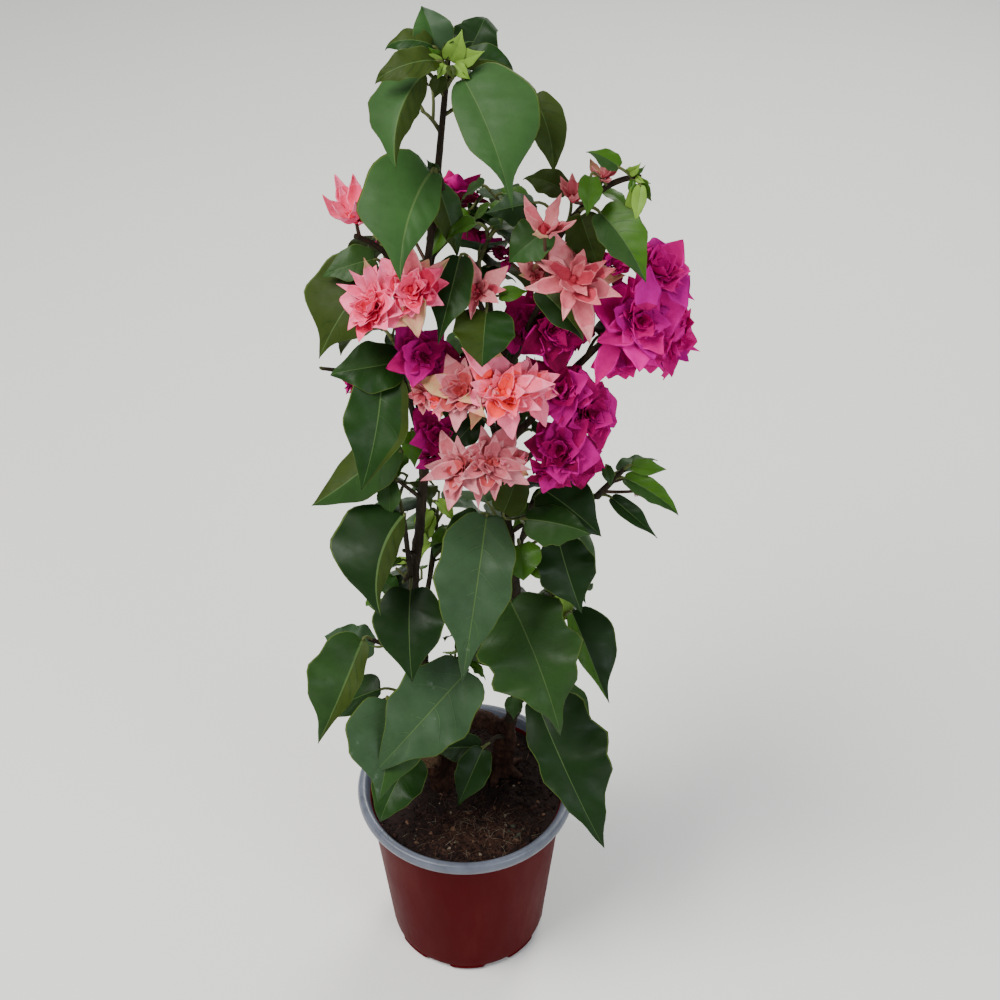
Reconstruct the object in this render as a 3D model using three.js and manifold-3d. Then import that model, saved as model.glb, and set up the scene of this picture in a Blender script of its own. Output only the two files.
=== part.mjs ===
// A bougainvillea bush in a plastic nursery pot, as separate named solids.
// Millimetres, +Z up. The origin is the middle of the pot's flat underside, and the plant's front faces -Y.
import * as THREE from 'three';
import Module from 'manifold-3d';
import { mergeVertices } from 'three/addons/utils/BufferGeometryUtils.js';

const wasm = await Module();
wasm.setup();

// Driving sizes
const GAP = 0.3;
const RIM_RADIUS = 85;
const POT_HEIGHT = 162;
const FOOT_RADIUS = 55;
const CORNER_RADIUS = 63;
const WALL = 1.5;
const NECK_RADIUS = 76.5;
const LIP_DEPTH = 9.5;
const LIP_WIDTH = 8;
const FLOOR = 2.6;
const CORNER_FLOOR = 4.6;
const NOTCHES = 8;
const NOTCH_SIZE = [14, 14, 3.2];
const SOIL_TOP = 150;
const SOIL_ROUGHNESS = 1.6;
const SOIL_RADIUS = 74.2;
const SOIL_RINGS = [70, 60, 51, 44];
const POT_SIDES = 32;
const SOIL_SIDES = 22;

// How leaves and bracts are shaped, as shares of their own length
const LEAF_TAPER = [0.62, 1.12];
const BRACT_TAPER = [0.75, 0.95];
const LEAF_ROWS = [0, 0.2, 0.56, 1];
const BRACT_ROWS = [0, 0.44, 1];
const LEAF_THICKNESS = 0.014;
const BRACT_THICKNESS = 0.03;
const BRACT_WIDTH = 0.48;
const LEAF_ARCH = 38;
const LEAF_FOLD = 16;
const BRACT_ARCH = 24;
const BRACT_FOLD = 12;
const STALK_RADIUS = [1.2, 0.9];
const STALK_RINGS = [0.15, 1];
const STEM_RADIUS = [2, 1.2];
const TWIG_RADIUS = [1.5, 1];
const BOSS_RADIUS = 3.2;
const BRACT_ROOT = 1.7;
const STALK_SET_BACK = 0.06;
const OUTER_BRACTS = 7;
const GOLDEN_ANGLE = 137.5;
const NUDGES = [[0, 0], [7, 4], [-7, 4], [14, 8], [-14, 8], [0, -9], [20, -6], [-20, -6]];

// The woody base: its limbs run from below the soil's top, where they are cut flat
const WOODY_SIDES = 7;
const LIMB_SIDES = 6;
const WOODY_LIMBS = [
  { path: [[27, 24, 146], [29, 26, 166], [34, 29, 196]], radius: [10.5, 5.6], steps: 3 },
  {
    path: [[30, 27, 172], [20, 27, 199], [2, 24, 203], [-13, 17, 186], [-18, 9, 146]],
    radius: [6.2, 8.5],
    steps: 8,
  },
  { path: [[-18, 9, 146], [-21, 6, 165], [-28, 2, 186]], radius: [10, 8], steps: 2 },
];
const KNOB = { centre: [10, 26, 203], radius: 8.5, scale: [1.2, 1, 0.85] };
const ROOT_FLARES = [[-75, 30], [-20, 22], [60, 20], [120, 22], [195, 18]];
const ROOT_RADIUS = [5, 1.8];

// Limbs: the points that each one's middle runs through, and its foot and tip radius
const LIMBS = {
  left_stem: {
    path: [[-14, 17, 190], [-26, 14, 240], [-35, 12, 345], [-28, 14, 414], [-23, 14, 482], [-27, 12, 543],
      [-16, 8, 624], [-12, 5, 652]],
    radius: [4.6, 2.2],
    rests: 'woody_base',
  },
  right_stem: {
    path: [[34, 29, 195], [40, 26, 240], [38, 20, 335], [30, 15, 431], [26, 10, 500], [20, 8, 590]],
    radius: [5, 2.2],
    rests: 'woody_base',
  },
  upper_right_bough: {
    path: [[24, 10, 538], [38, 9, 578], [53, 5, 622]],
    radius: [2.6, 2],
    rests: 'right_stem',
  },
  middle_right_bough: {
    path: [[27, 11, 480], [50, 2, 512], [73, -5, 552]],
    radius: [2.6, 2],
    rests: 'right_stem',
  },
  lower_right_bough: {
    path: [[32, 17, 400], [60, 6, 432], [90, -10, 454]],
    radius: [2.5, 1.8],
    rests: 'right_stem',
  },
};

// Masses: each grows on one stem that leaves its limb at a height, or at its tip, and reaches by [x, y, z].
// leaves: [place on the stem, stalk bearing, stalk length, stalk rise, bearing, droop, length, width, roll]
// blooms: [place on the stem, stalk bearing, stalk length, stalk rise, radius, bracts, faced bearing, faced rise]
// Bearings are from the front, to the right. sprays: side twigs by the seeded rule, inside the mass's space.
const MASSES = [
  {
    name: 'crown_top_foliage', limb: 'left_stem', height: 652, reach: [10.5, -5, 94], lift: 0, colour: 'leaf',
    leaves: [
      [1, -90, 8, 57, -146, -46, 24, 0.7, -20],
      [0.97, -78, 12, 33, -98, -9, 27, 0.45, -35],
      [0.95, -55, 16, 28, -76, 17, 33, 0.5, -40],
      [0.84, -52, 12, 25, -33, 41, 58, 0.66, -22],
      [0.88, 62, 24, 34, 27, 42, 76, 0.74, 22],
      [0.97, 135, 13, 31, 118, -31, 24, 0.65, 30],
      [0.9, 113, 15, 25, 102, -14, 27, 0.6, 40],
      [0.72, 98, 52, 4, 30, 50, 42, 0.36, 14],
      [0.32, -42, 16, 31, -24, 42, 72, 0.78, -15],
      [0.2, 150, 14, 31, 60, 50, 46, 0.5, 10],
      [1, 0, 5, 60, 20, -50, 16, 0.5, 0],
      [1, 120, 5, 60, 75, -30, 16, 0.5, 0],
    ],
    blooms: [],
    sprays: { count: 3, leaves: 2, reach: 24, bearing: 175, spread: 50, length: [38, 54] },
    space: [[-75, -65, 600], [75, 75, 785]], seed: 11,
  },
  {
    name: 'left_shoulder_foliage', limb: 'left_stem', height: 560, reach: [-20, -6, 56], lift: 4,
    colour: 'leaf',
    leaves: [
      [1, -20, 10, 62, -78, 14, 35, 0.66, -40],
      [0.8, -50, 14, 35, -62, 33, 60, 0.64, -30],
      [0.6, 175, 14, 20, 170, 26, 46, 0.62, 0],
    ],
    blooms: [],
    sprays: { count: 2, leaves: 2, reach: 30, bearing: 170, spread: 30, length: [40, 54] },
    space: [[-100, -60, 530], [10, 80, 690]], seed: 23,
  },
  {
    name: 'left_blossom', limb: 'left_stem', height: 592, reach: [-36, -16, 52], lift: 8, colour: 'pink',
    leaves: [],
    blooms: [
      [1, -108, 24, 79, 18, 9, -10, 76],
      [0.3, -24, 37, -8, 23, 14, -35, 40],
      [0.27, 11, 31, 11, 24, 15, 0, 45],
      [0.75, 150, 18, 20, 19, 12, 165, 40],
    ],
    space: [[-100, -60, 560], [10, 60, 700]], seed: 29,
  },
  {
    name: 'left_middle_foliage', limb: 'left_stem', height: 470, reach: [-12, -18, 82], lift: 0, colour: 'leaf',
    leaves: [
      [1, -60, 6, 62, -76, 14, 48, 0.62, -40],
      [0.86, -48, 15, 30, -26, 44, 70, 0.62, -24],
      [0.34, -112, 18, -42, -67, 30, 70, 0.46, -36],
      [0.3, -20, 12, 30, 10, 55, 24, 0.6, 0],
      [0.5, -170, 20, 30, -175, 25, 50, 0.62, 0],
    ],
    blooms: [
      [0.75, -85, 34, 12, 10, 5, -80, 10],
    ],
    sprays: { count: 2, leaves: 2, reach: 32, bearing: -170, spread: 25, length: [45, 58] },
    space: [[-105, -70, 420], [20, 70, 610]], seed: 31,
  },
  {
    name: 'left_inner_blossom', limb: 'left_stem', height: 485, reach: [6, -20, 60], lift: 0, colour: 'magenta',
    leaves: [],
    blooms: [
      [1, -24, 23, 68, 21, 13, 5, 35],
      [0.32, 40, 14, -23, 18, 11, 5, 30],
      [0.9, 60, 16, 20, 18, 11, 30, 30],
    ],
    space: [[-70, -60, 470], [25, 40, 600]], seed: 37,
  },
  {
    name: 'left_lower_foliage', limb: 'left_stem', height: 345, reach: [-3, -16, 87], lift: 0, colour: 'leaf',
    leaves: [
      [1, -80, 11, 30, -25, 44, 71, 0.64, -26],
      [0.3, -28, 18, -8, 2, 40, 60, 0.8, 4],
      [0.45, -60, 7, 40, -60, 20, 14, 0.5, 0],
      [0.7, -165, 22, 30, -170, 32, 56, 0.64, 0],
    ],
    blooms: [],
    sprays: { count: 2, leaves: 2, reach: 34, bearing: 178, spread: 25, length: [48, 60] },
    space: [[-100, -75, 290], [10, 80, 470]], seed: 43,
  },
  {
    name: 'left_skirt_foliage', limb: 'left_stem', height: 285, reach: [-36, -16, 33], lift: 0, colour: 'leaf',
    leaves: [
      [1, -60, 11, 20, -38, 46, 80, 0.52, -36],
      [0.75, -120, 14, 0, -108, -10, 34, 0.7, -30],
      [0.45, -170, 26, 25, -170, 35, 62, 0.66, 0],
    ],
    blooms: [],
    sprays: { count: 2, leaves: 2, reach: 36, bearing: 175, spread: 35, length: [50, 64] },
    space: [[-120, -75, 195], [0, 85, 345]], seed: 53,
  },
  {
    name: 'low_left_foliage', limb: 'left_stem', height: 225, reach: [-34, -42, 55], lift: 8, colour: 'leaf',
    leaves: [
      [1, -44, 12, 40, -4, 46, 73, 0.56, -14],
      [0.5, 0, 36, -60, -16, 40, 60, 0.74, -17],
      [0.5, -100, 22, 15, -95, 40, 60, 0.64, -10],
    ],
    blooms: [],
    space: [[-120, -110, 160], [0, 40, 320]], seed: 61,
  },
  {
    name: 'low_centre_foliage', limb: 'left_stem', height: 240, reach: [26, -31, 60], lift: 0, colour: 'leaf',
    leaves: [
      [1, 19, 10, 42, -50, 32, 99, 0.68, -34],
      [0.6, 150, 22, 20, 140, 30, 60, 0.64, 0],
    ],
    blooms: [],
    sprays: { count: 1, leaves: 2, reach: 34, bearing: 170, spread: 20, length: [48, 60] },
    space: [[-90, -110, 190], [60, 80, 330]], seed: 71,
  },
  {
    name: 'foot_foliage', limb: 'woody_base', start: [31, 28, 178], reach: [-13, -30, 27], lift: 6,
    colour: 'leaf',
    leaves: [
      [1, -9, 9, 20, -40, 44, 49, 0.52, -26],
      [0.8, -50, 12, 0, -92, 8, 40, 0.6, -30],
    ],
    blooms: [],
    space: [[-50, -60, 155], [60, 60, 230]], seed: 79,
  },
  {
    name: 'centre_low_foliage', limb: 'right_stem', height: 395, reach: [-12, -19, 33], lift: 0, colour: 'leaf',
    leaves: [
      [0.97, -65, 11, 28, -14, 45, 100, 0.58, -10],
      [0.65, -105, 15, 30, -48, 40, 42, 0.68, -30],
      [0.4, -150, 24, 25, -160, 35, 56, 0.64, 0],
    ],
    blooms: [],
    space: [[-60, -110, 320], [70, 90, 470]], seed: 83,
  },
  {
    name: 'right_skirt_foliage', limb: 'right_stem', height: 320, reach: [-6, -21, 38], lift: 0, colour: 'leaf',
    leaves: [
      [1, 1, 9, 32, 27, 42, 102, 0.68, 20],
      [0.4, -120, 22, 20, -150, 40, 58, 0.66, 0],
    ],
    blooms: [],
    space: [[-40, -110, 240], [110, 90, 390]], seed: 89,
  },
  {
    name: 'right_foot_foliage', limb: 'right_stem', height: 215, reach: [6, -26, 35], lift: 0, colour: 'leaf',
    leaves: [
      [1, 64, 18, 24, 36, 42, 124, 0.44, 24],
      [1, -76, 10, 36, 4, 51, 18, 0.8, 0],
      [0.5, 165, 22, 20, 160, 38, 62, 0.64, 0],
    ],
    blooms: [],
    sprays: { count: 2, leaves: 2, reach: 34, bearing: 160, spread: 50, length: [50, 66] },
    space: [[-20, -110, 140], [140, 100, 290]], seed: 97,
  },
  {
    name: 'right_flank_foliage', limb: 'right_stem', height: 290, reach: [35, -11, 35], lift: 6, colour: 'leaf',
    leaves: [
      [1, 46, 9, 50, 38, 47, 67, 0.46, 10],
      [0.6, 155, 22, 20, 158, 35, 58, 0.66, 0],
    ],
    blooms: [],
    sprays: { count: 2, leaves: 2, reach: 32, bearing: 165, spread: 25, length: [46, 60] },
    space: [[10, -70, 215], [112, 95, 385]], seed: 101,
  },
  {
    name: 'right_middle_foliage', limb: 'right_stem', height: 365, reach: [12, -23, 80], lift: 0,
    colour: 'leaf',
    leaves: [
      [0.95, 100, 12, 35, 71, 22, 50, 0.76, 40],
      [0.75, 20, 18, 27, 75, 18, 46, 0.56, 30],
      [0.33, 61, 27, 13, 40, 47, 44, 0.74, 16],
      [0.45, -9, 22, 20, 20, 49, 22, 0.85, 10],
      [0.88, -61, 22, 30, 135, -38, 28, 0.66, 20],
      [0.6, 165, 22, 25, 160, 30, 54, 0.64, 0],
    ],
    blooms: [],
    sprays: { count: 1, leaves: 2, reach: 34, bearing: 150, spread: 30, length: [45, 60] },
    space: [[-30, -75, 330], [120, 85, 500]], seed: 103,
  },
  {
    name: 'right_twig_foliage', limb: 'lower_right_bough', height: 454, reach: [16, -4, 25], lift: 0,
    colour: 'leaf',
    leaves: [
      [0.8, -80, 12, 45, 20, 46, 14, 0.6, 20],
      [1, 90, 6, 40, 86, 5, 24, 0.5, 40],
      [0.65, 61, 8, 28, 67, 26, 45, 0.42, 36],
      [0.1, 67, 10, 22, 58, 33, 41, 0.46, 30],
      [0.5, 160, 12, 30, 150, 20, 34, 0.55, 0],
    ],
    blooms: [
      [0.6, 105, 17, 10, 8, 5, 90, 20],
      [0.25, 88, 20, -2, 7, 4, 80, -10],
    ],
    space: [[70, -60, 410], [160, 50, 520]], seed: 107,
  },
  {
    name: 'right_blossom', limb: 'middle_right_bough', height: 552, reach: [25, -9, 36], lift: 0,
    colour: 'magenta',
    leaves: [
      [0.3, 150, 16, 20, 140, 30, 48, 0.62, 0],
    ],
    blooms: [
      [1, 97, 40, 60, 23, 14, 40, 60],
      [1, 60, 14, 30, 27, 16, 20, 30],
      [0.88, 88, 31, -8, 24, 14, 50, 5],
      [0.55, 66, 15, 0, 24, 14, 10, 5],
      [0.6, 160, 30, 10, 22, 12, 150, 30],
    ],
    space: [[30, -65, 490], [150, 60, 660]], seed: 109,
  },
  {
    name: 'middle_blossom', limb: 'right_stem', height: 448, reach: [33, -25, 60], lift: 0, colour: 'magenta',
    leaves: [
      [0.6, 130, 16, 20, 120, 30, 44, 0.62, 0],
    ],
    blooms: [
      [1, 15, 37, 78, 23, 13, 0, 45],
      [1, 73, 27, 41, 22, 12, 35, 35],
      [1, 10, 19, 0, 22, 12, -20, 30],
      [0.95, 66, 22, -40, 20, 12, 30, 10],
    ],
    space: [[30, -65, 440], [118, 40, 580]], seed: 151,
  },
  {
    name: 'centre_tip_foliage', limb: 'right_stem', height: 590, reach: [-8, -12, 34], lift: 0, colour: 'leaf',
    leaves: [
      [0.3, 0, 26, 10, -6, 38, 34, 0.95, -5],
      [1, -71, 14, 28, -30, 50, 50, 0.42, -2],
      [0.42, 24, 24, 16, 96, -8, 18, 0.6, 40],
      [0.7, 180, 18, 30, 175, 30, 52, 0.62, 0],
    ],
    blooms: [],
    sprays: { count: 1, leaves: 2, reach: 34, bearing: 170, spread: 30, length: [42, 56] },
    space: [[-55, -70, 540], [85, 80, 660]], seed: 113,
  },
  {
    name: 'inner_blossom', limb: 'right_stem', height: 572, reach: [-8, -14, 30], lift: 0, colour: 'pink',
    leaves: [],
    blooms: [
      [1, 0, 12, 48, 19, 10, -10, 50],
    ],
    space: [[-30, -60, 560], [70, 60, 660]], seed: 117,
  },
  {
    name: 'centre_blossom', limb: 'right_stem', height: 470, reach: [-10, -36, 70], lift: 0, colour: 'coral',
    leaves: [
      [0.5, -120, 12, 30, -60, 40, 34, 0.6, -20],
    ],
    blooms: [
      [1, -47, 22, 40, 24, 14, -25, 45],
      [1, 32, 26, 40, 27, 16, 5, 50],
      [1, 77, 28, 28, 23, 13, 35, 40],
      [0.4, -37, 36, -7, 23, 14, -20, 35],
      [0.4, -7, 28, -1, 24, 14, 15, 40],
    ],
    space: [[-50, -85, 440], [90, 30, 600]], seed: 127,
  },
  {
    name: 'upper_right_foliage', limb: 'upper_right_bough', height: 622, reach: [52, -15, 61], lift: 14,
    colour: 'leaf',
    leaves: [
      [0.97, -77, 13, 33, -107, -20, 20, 0.55, -30],
      [0.72, -46, 17, 29, -24, 49, 22, 0.62, -18],
      [0.42, 29, 17, 10, 41, 36, 45, 0.62, 31],
      [0.25, 61, 12, 21, 39, 44, 30, 0.66, 29],
      [0.9, 43, 8, -12, -12, 51, 22, 0.5, -9],
      [0.23, -96, 27, 29, -74, 19, 28, 0.66, -40],
      [0.25, -38, 16, 33, -78, 42, 34, 0.62, -36],
      [0.3, -120, 17, 27, -124, -30, 24, 0.7, -30],
      [0.5, 160, 18, 25, 165, 25, 48, 0.62, 0],
    ],
    blooms: [
      [0.5, -83, 14, 31, 10, 6, -60, 60],
      [0.78, -106, 12, 35, 9, 6, -40, 60],
    ],
    sprays: { count: 1, leaves: 2, reach: 26, bearing: 170, spread: 20, length: [34, 44] },
    space: [[0, -70, 575], [114, 70, 700]], seed: 131,
  },
  {
    name: 'star_blossom', limb: 'right_stem', height: 522, reach: [32, -23, 98], lift: 0, colour: 'pink',
    leaves: [
      [0.9, -10, 8, 30, 53, 37, 42, 0.42, 30],
    ],
    blooms: [
      [1, 20, 50, 76, 21, 10, -20, 60],
      [1, 48, 17, 17, 28, 14, 15, 45],
      [0.55, 78, 15, 14, 22, 13, 30, 30],
    ],
    space: [[0, -70, 515], [114, 70, 690]], seed: 133,
  },
  {
    name: 'back_upper_foliage', limb: 'left_stem', height: 560, reach: [16, 44, 60], lift: 6, colour: 'leaf',
    leaves: [],
    blooms: [
      [0.95, 150, 18, 35, 23, 13, 170, 40],
      [0.6, -140, 22, 30, 22, 12, -160, 35],
    ],
    sprays: { count: 4, leaves: 2, reach: 34, bearing: 180, spread: 90, length: [44, 58] },
    space: [[-70, 15, 500], [70, 100, 660]], seed: 137,
  },
  {
    name: 'back_middle_foliage', limb: 'right_stem', height: 440, reach: [2, 50, 62], lift: 6, colour: 'leaf',
    leaves: [],
    blooms: [
      [1, 160, 20, 30, 24, 14, 175, 35],
      [0.7, 110, 26, 20, 22, 12, 130, 30],
    ],
    sprays: { count: 5, leaves: 2, reach: 38, bearing: 175, spread: 85, length: [48, 60] },
    space: [[-60, 20, 380], [110, 110, 560]], seed: 139,
  },
  {
    name: 'back_low_foliage', limb: 'left_stem', height: 300, reach: [14, 50, 60], lift: 6, colour: 'leaf',
    leaves: [],
    blooms: [],
    sprays: { count: 5, leaves: 2, reach: 40, bearing: 180, spread: 95, length: [52, 66] },
    space: [[-90, 20, 200], [70, 115, 420]], seed: 149,
  },
];

const COLOURS = {
  leaf: [0x3f6b35, 0.5],
  pink: [0xe58a92, 0.65],
  coral: [0xee8d83, 0.65],
  magenta: [0xc2188c, 0.65],
};

// Seeded numbers from 0 to 1, the same on every run
function dice(seed) {
  let state = seed >>> 0;
  return () => {
    state = (state + 0x6d2b79f5) >>> 0;
    let mixed = Math.imul(state ^ (state >>> 15), state | 1);
    mixed ^= mixed + Math.imul(mixed ^ (mixed >>> 7), mixed | 61);
    return ((mixed ^ (mixed >>> 14)) >>> 0) / 4294967296;
  };
}

const radians = (degrees) => degrees * Math.PI / 180;
const vector = (values) => new THREE.Vector3(...values);

// The unit vector at a bearing from the front and a rise above level
function heading(bearing, rise) {
  const flat = Math.cos(radians(rise));
  const turn = radians(bearing);
  return new THREE.Vector3(Math.sin(turn) * flat, -Math.cos(turn) * flat, Math.sin(radians(rise)));
}

// A closed three.js geometry as a solid, with shared corners merged and flat triangles at the axis dropped
function toSolid(geometry) {
  const bare = geometry.clone();
  bare.deleteAttribute('normal');
  bare.deleteAttribute('uv');
  const merged = mergeVertices(bare, 1e-4);
  const corners = merged.index.array;
  const kept = [];
  for (let i = 0; i < corners.length; i += 3) {
    const [a, b, c] = [corners[i], corners[i + 1], corners[i + 2]];
    if (a !== b && b !== c && c !== a) kept.push(a, b, c);
  }
  const vertProperties = merged.attributes.position.array;
  return new wasm.Manifold(new wasm.Mesh({ numProp: 3, vertProperties, triVerts: new Uint32Array(kept) }));
}

function toGeometry(solid) {
  const mesh = solid.getMesh();
  const geometry = new THREE.BufferGeometry();
  geometry.setAttribute('position', new THREE.BufferAttribute(mesh.vertProperties, 3));
  geometry.setIndex(new THREE.BufferAttribute(mesh.triVerts, 1));
  geometry.computeVertexNormals();
  return geometry;
}

function join(solids) {
  return wasm.Manifold.union(solids);
}

// The largest closed body of a cut solid, since cutting can leave a scrap
function largestBody(solid) {
  const bodies = solid.decompose();
  return bodies.reduce((best, body) => (body.volume() > best.volume() ? body : best));
}

// A round limb that tapers along a curve. grow makes it stand that much wider and longer.
function limbSolid(curve, [foot, tip], sides, steps, grow = 0) {
  const geometry = new THREE.CylinderGeometry(1, 1, 1, sides, steps);
  const frames = curve.computeFrenetFrames(steps, false);
  const position = geometry.attributes.position;
  const wider = grow / Math.cos(Math.PI / sides);
  for (let i = 0; i < position.count; i++) {
    const step = Math.round((position.getY(i) + 0.5) * steps);
    const radius = foot + (tip - foot) * step / steps + wider;
    const further = (step === 0 ? -grow : 0) + (step === steps ? grow : 0);
    const point = curve.getPointAt(step / steps)
      .addScaledVector(frames.tangents[step], further)
      .addScaledVector(frames.normals[step], position.getX(i) * radius)
      .addScaledVector(frames.binormals[step], -position.getZ(i) * radius);
    position.setXYZ(i, point.x, point.y, point.z);
  }
  return toSolid(geometry);
}

const smoothCurve = (points) => new THREE.CatmullRomCurve3(points.map(vector), false, 'catmullrom', 0.5);

// A twig's curve: from a point by a reach, its middle lifted
function twigCurve(start, reach, lift) {
  const middle = start.clone().addScaledVector(reach, 0.5);
  middle.z += 2 * lift;
  return new THREE.QuadraticBezierCurve3(start, middle, start.clone().add(reach));
}

// How wide a blade is at a share t of its length, with 1 at its widest
function taper(t, [near, far]) {
  const widest = near / (near + far);
  return (t / widest) ** near * ((1 - t) / (1 - widest)) ** far;
}

// A blade's frame: base point, direction and face normal. roll turns the face about the direction.
function bladeFrame(base, along, face, roll) {
  const flat = face.clone().addScaledVector(along, -face.dot(along)).normalize();
  const right = along.clone().cross(flat);
  const turn = radians(roll);
  const normal = flat.multiplyScalar(Math.cos(turn)).addScaledVector(right, Math.sin(turn));
  return { base, along, normal, side: normal.clone().cross(along) };
}

// A point of an arched and folded blade: t along it, across from -1 to 1, lift off its middle surface
function bladePoint(frame, shape, t, across, lift) {
  const arch = radians(shape.arch);
  const turn = arch * (t - 0.5);
  const forward = shape.length * (Math.sin(turn) + Math.sin(arch / 2)) / arch;
  const upward = shape.length * (Math.cos(turn) - Math.cos(arch / 2)) / arch;
  const half = t > 0 && t < 1 ? shape.length * shape.width / 2 * taper(t, shape.taper) + shape.grow : 0;
  const fold = radians(shape.fold);
  const normal = frame.normal.clone()
    .multiplyScalar(Math.cos(turn))
    .addScaledVector(frame.along, Math.sin(turn));
  return frame.base.clone()
    .addScaledVector(frame.along, forward)
    .addScaledVector(frame.normal, upward)
    .addScaledVector(frame.side, across * half * Math.cos(fold))
    .addScaledVector(normal, Math.abs(across) * half * Math.sin(fold) + lift);
}

// A closed form drawn from a sphere of four meridians, given a ring of four points for each row
function ringSolid(rings) {
  const geometry = new THREE.SphereGeometry(1, 4, rings.length - 1);
  const position = geometry.attributes.position;
  rings.forEach((ring, row) => {
    for (let step = 0; step <= 4; step++) {
      const point = ring[step % 4];
      position.setXYZ(row * 5 + step, point.x, point.y, point.z);
    }
  });
  return toSolid(geometry);
}

// The rings of a thin blade: its two margins and its upper and lower ridge, closed at its base and tip
function bladeRings(frame, shape) {
  const ridge = shape.length * shape.thickness / 2 + shape.grow;
  const last = shape.rows.length - 1;
  return shape.rows.map((t, row) => {
    const lift = row === 0 || row === last ? 0 : ridge;
    return [[-1, 0], [0, lift], [1, 0], [0, -lift]]
      .map(([across, up]) => bladePoint(frame, shape, t, across, up));
  });
}

const bladeSolid = (frame, shape) => ringSolid(bladeRings(frame, shape));

// The rings of a leaf's stalk, from a point inside the stem, turned as the blade's are
function stalkRings(frame, curve) {
  const start = curve.getPoint(0);
  const rings = STALK_RINGS.map((t) => {
    const centre = curve.getPoint(t);
    const tangent = curve.getTangent(t);
    const up = frame.normal.clone().addScaledVector(tangent, -frame.normal.dot(tangent)).normalize();
    const side = up.clone().cross(tangent);
    const radius = STALK_RADIUS[0] + (STALK_RADIUS[1] - STALK_RADIUS[0]) * t;
    return [[side, -radius], [up, radius], [side, radius], [up, -radius]]
      .map(([direction, reach]) => centre.clone().addScaledVector(direction, reach));
  });
  return [[start, start, start, start], ...rings];
}

const leafShape = (length, width, grow) => ({
  length, width, grow, taper: LEAF_TAPER, rows: LEAF_ROWS, arch: LEAF_ARCH, fold: LEAF_FOLD,
  thickness: LEAF_THICKNESS,
});

const bractShape = (length, grow) => ({
  length, width: BRACT_WIDTH, grow, taper: BRACT_TAPER, rows: BRACT_ROWS, arch: BRACT_ARCH, fold: BRACT_FOLD,
  thickness: BRACT_THICKNESS,
});

// Everything that stands so far, so that what comes later can keep clear of it
const standing = [];
const OWN_KINDS = ['stalk', 'stem', 'twig', 'blade', 'bract'];

function stand(owner, kind, solid) {
  standing.push({ owner, kind, solid, box: solid.boundingBox() });
}

function boxesMeet(a, b) {
  return [0, 1, 2].every((axis) => a.min[axis] <= b.max[axis] && b.min[axis] <= a.max[axis]);
}

// Whether a solid touches what stands, apart from the given kinds of its own mass
function touches(solid, owner, ownKindsAllowed) {
  const box = solid.boundingBox();
  return standing.some((other) => {
    if (other.owner === owner && ownKindsAllowed.includes(other.kind)) return false;
    return boxesMeet(box, other.box) && !solid.intersect(other.solid).isEmpty();
  });
}

function leavesSpace(solid, space) {
  const box = solid.boundingBox();
  return [0, 1, 2].some((axis) => box.min[axis] < space[0][axis] || box.max[axis] > space[1][axis]);
}

// A leaf on its stalk. It turns a little where it has no room, and is skipped where that doesn't help.
function addLeaf(mass, stem, place, [bearing, rise, stalk], leaf) {
  const root = stem.getPoint(Math.max(0, place - STALK_SET_BACK));
  const base = stem.getPoint(place).addScaledVector(heading(bearing, rise), stalk);
  for (const [turn, dip] of NUDGES) {
    const along = heading(leaf.bearing + turn, -(leaf.droop + dip));
    const frame = bladeFrame(base, along, new THREE.Vector3(0, 0, 1), leaf.roll);
    const bend = base.clone().addScaledVector(along, -0.4 * stalk);
    const stalkCurve = new THREE.QuadraticBezierCurve3(root, bend, base);
    const tested = bladeSolid(frame, leafShape(leaf.length, leaf.width, GAP));
    const testedStalk = limbSolid(stalkCurve, STALK_RADIUS, 3, 2, GAP);
    if (leavesSpace(tested, mass.space)) continue;
    if (touches(tested, mass.name, ['stalk']) || touches(testedStalk, mass.name, OWN_KINDS)) continue;
    const shape = leafShape(leaf.length, leaf.width, 0);
    mass.solids.push(ringSolid([...stalkRings(frame, stalkCurve), ...bladeRings(frame, shape).slice(1)]));
    stand(mass.name, 'blade', bladeSolid(frame, shape));
    stand(mass.name, 'stalk', limbSolid(stalkCurve, STALK_RADIUS, 3, 2));
    return;
  }
}

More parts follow.
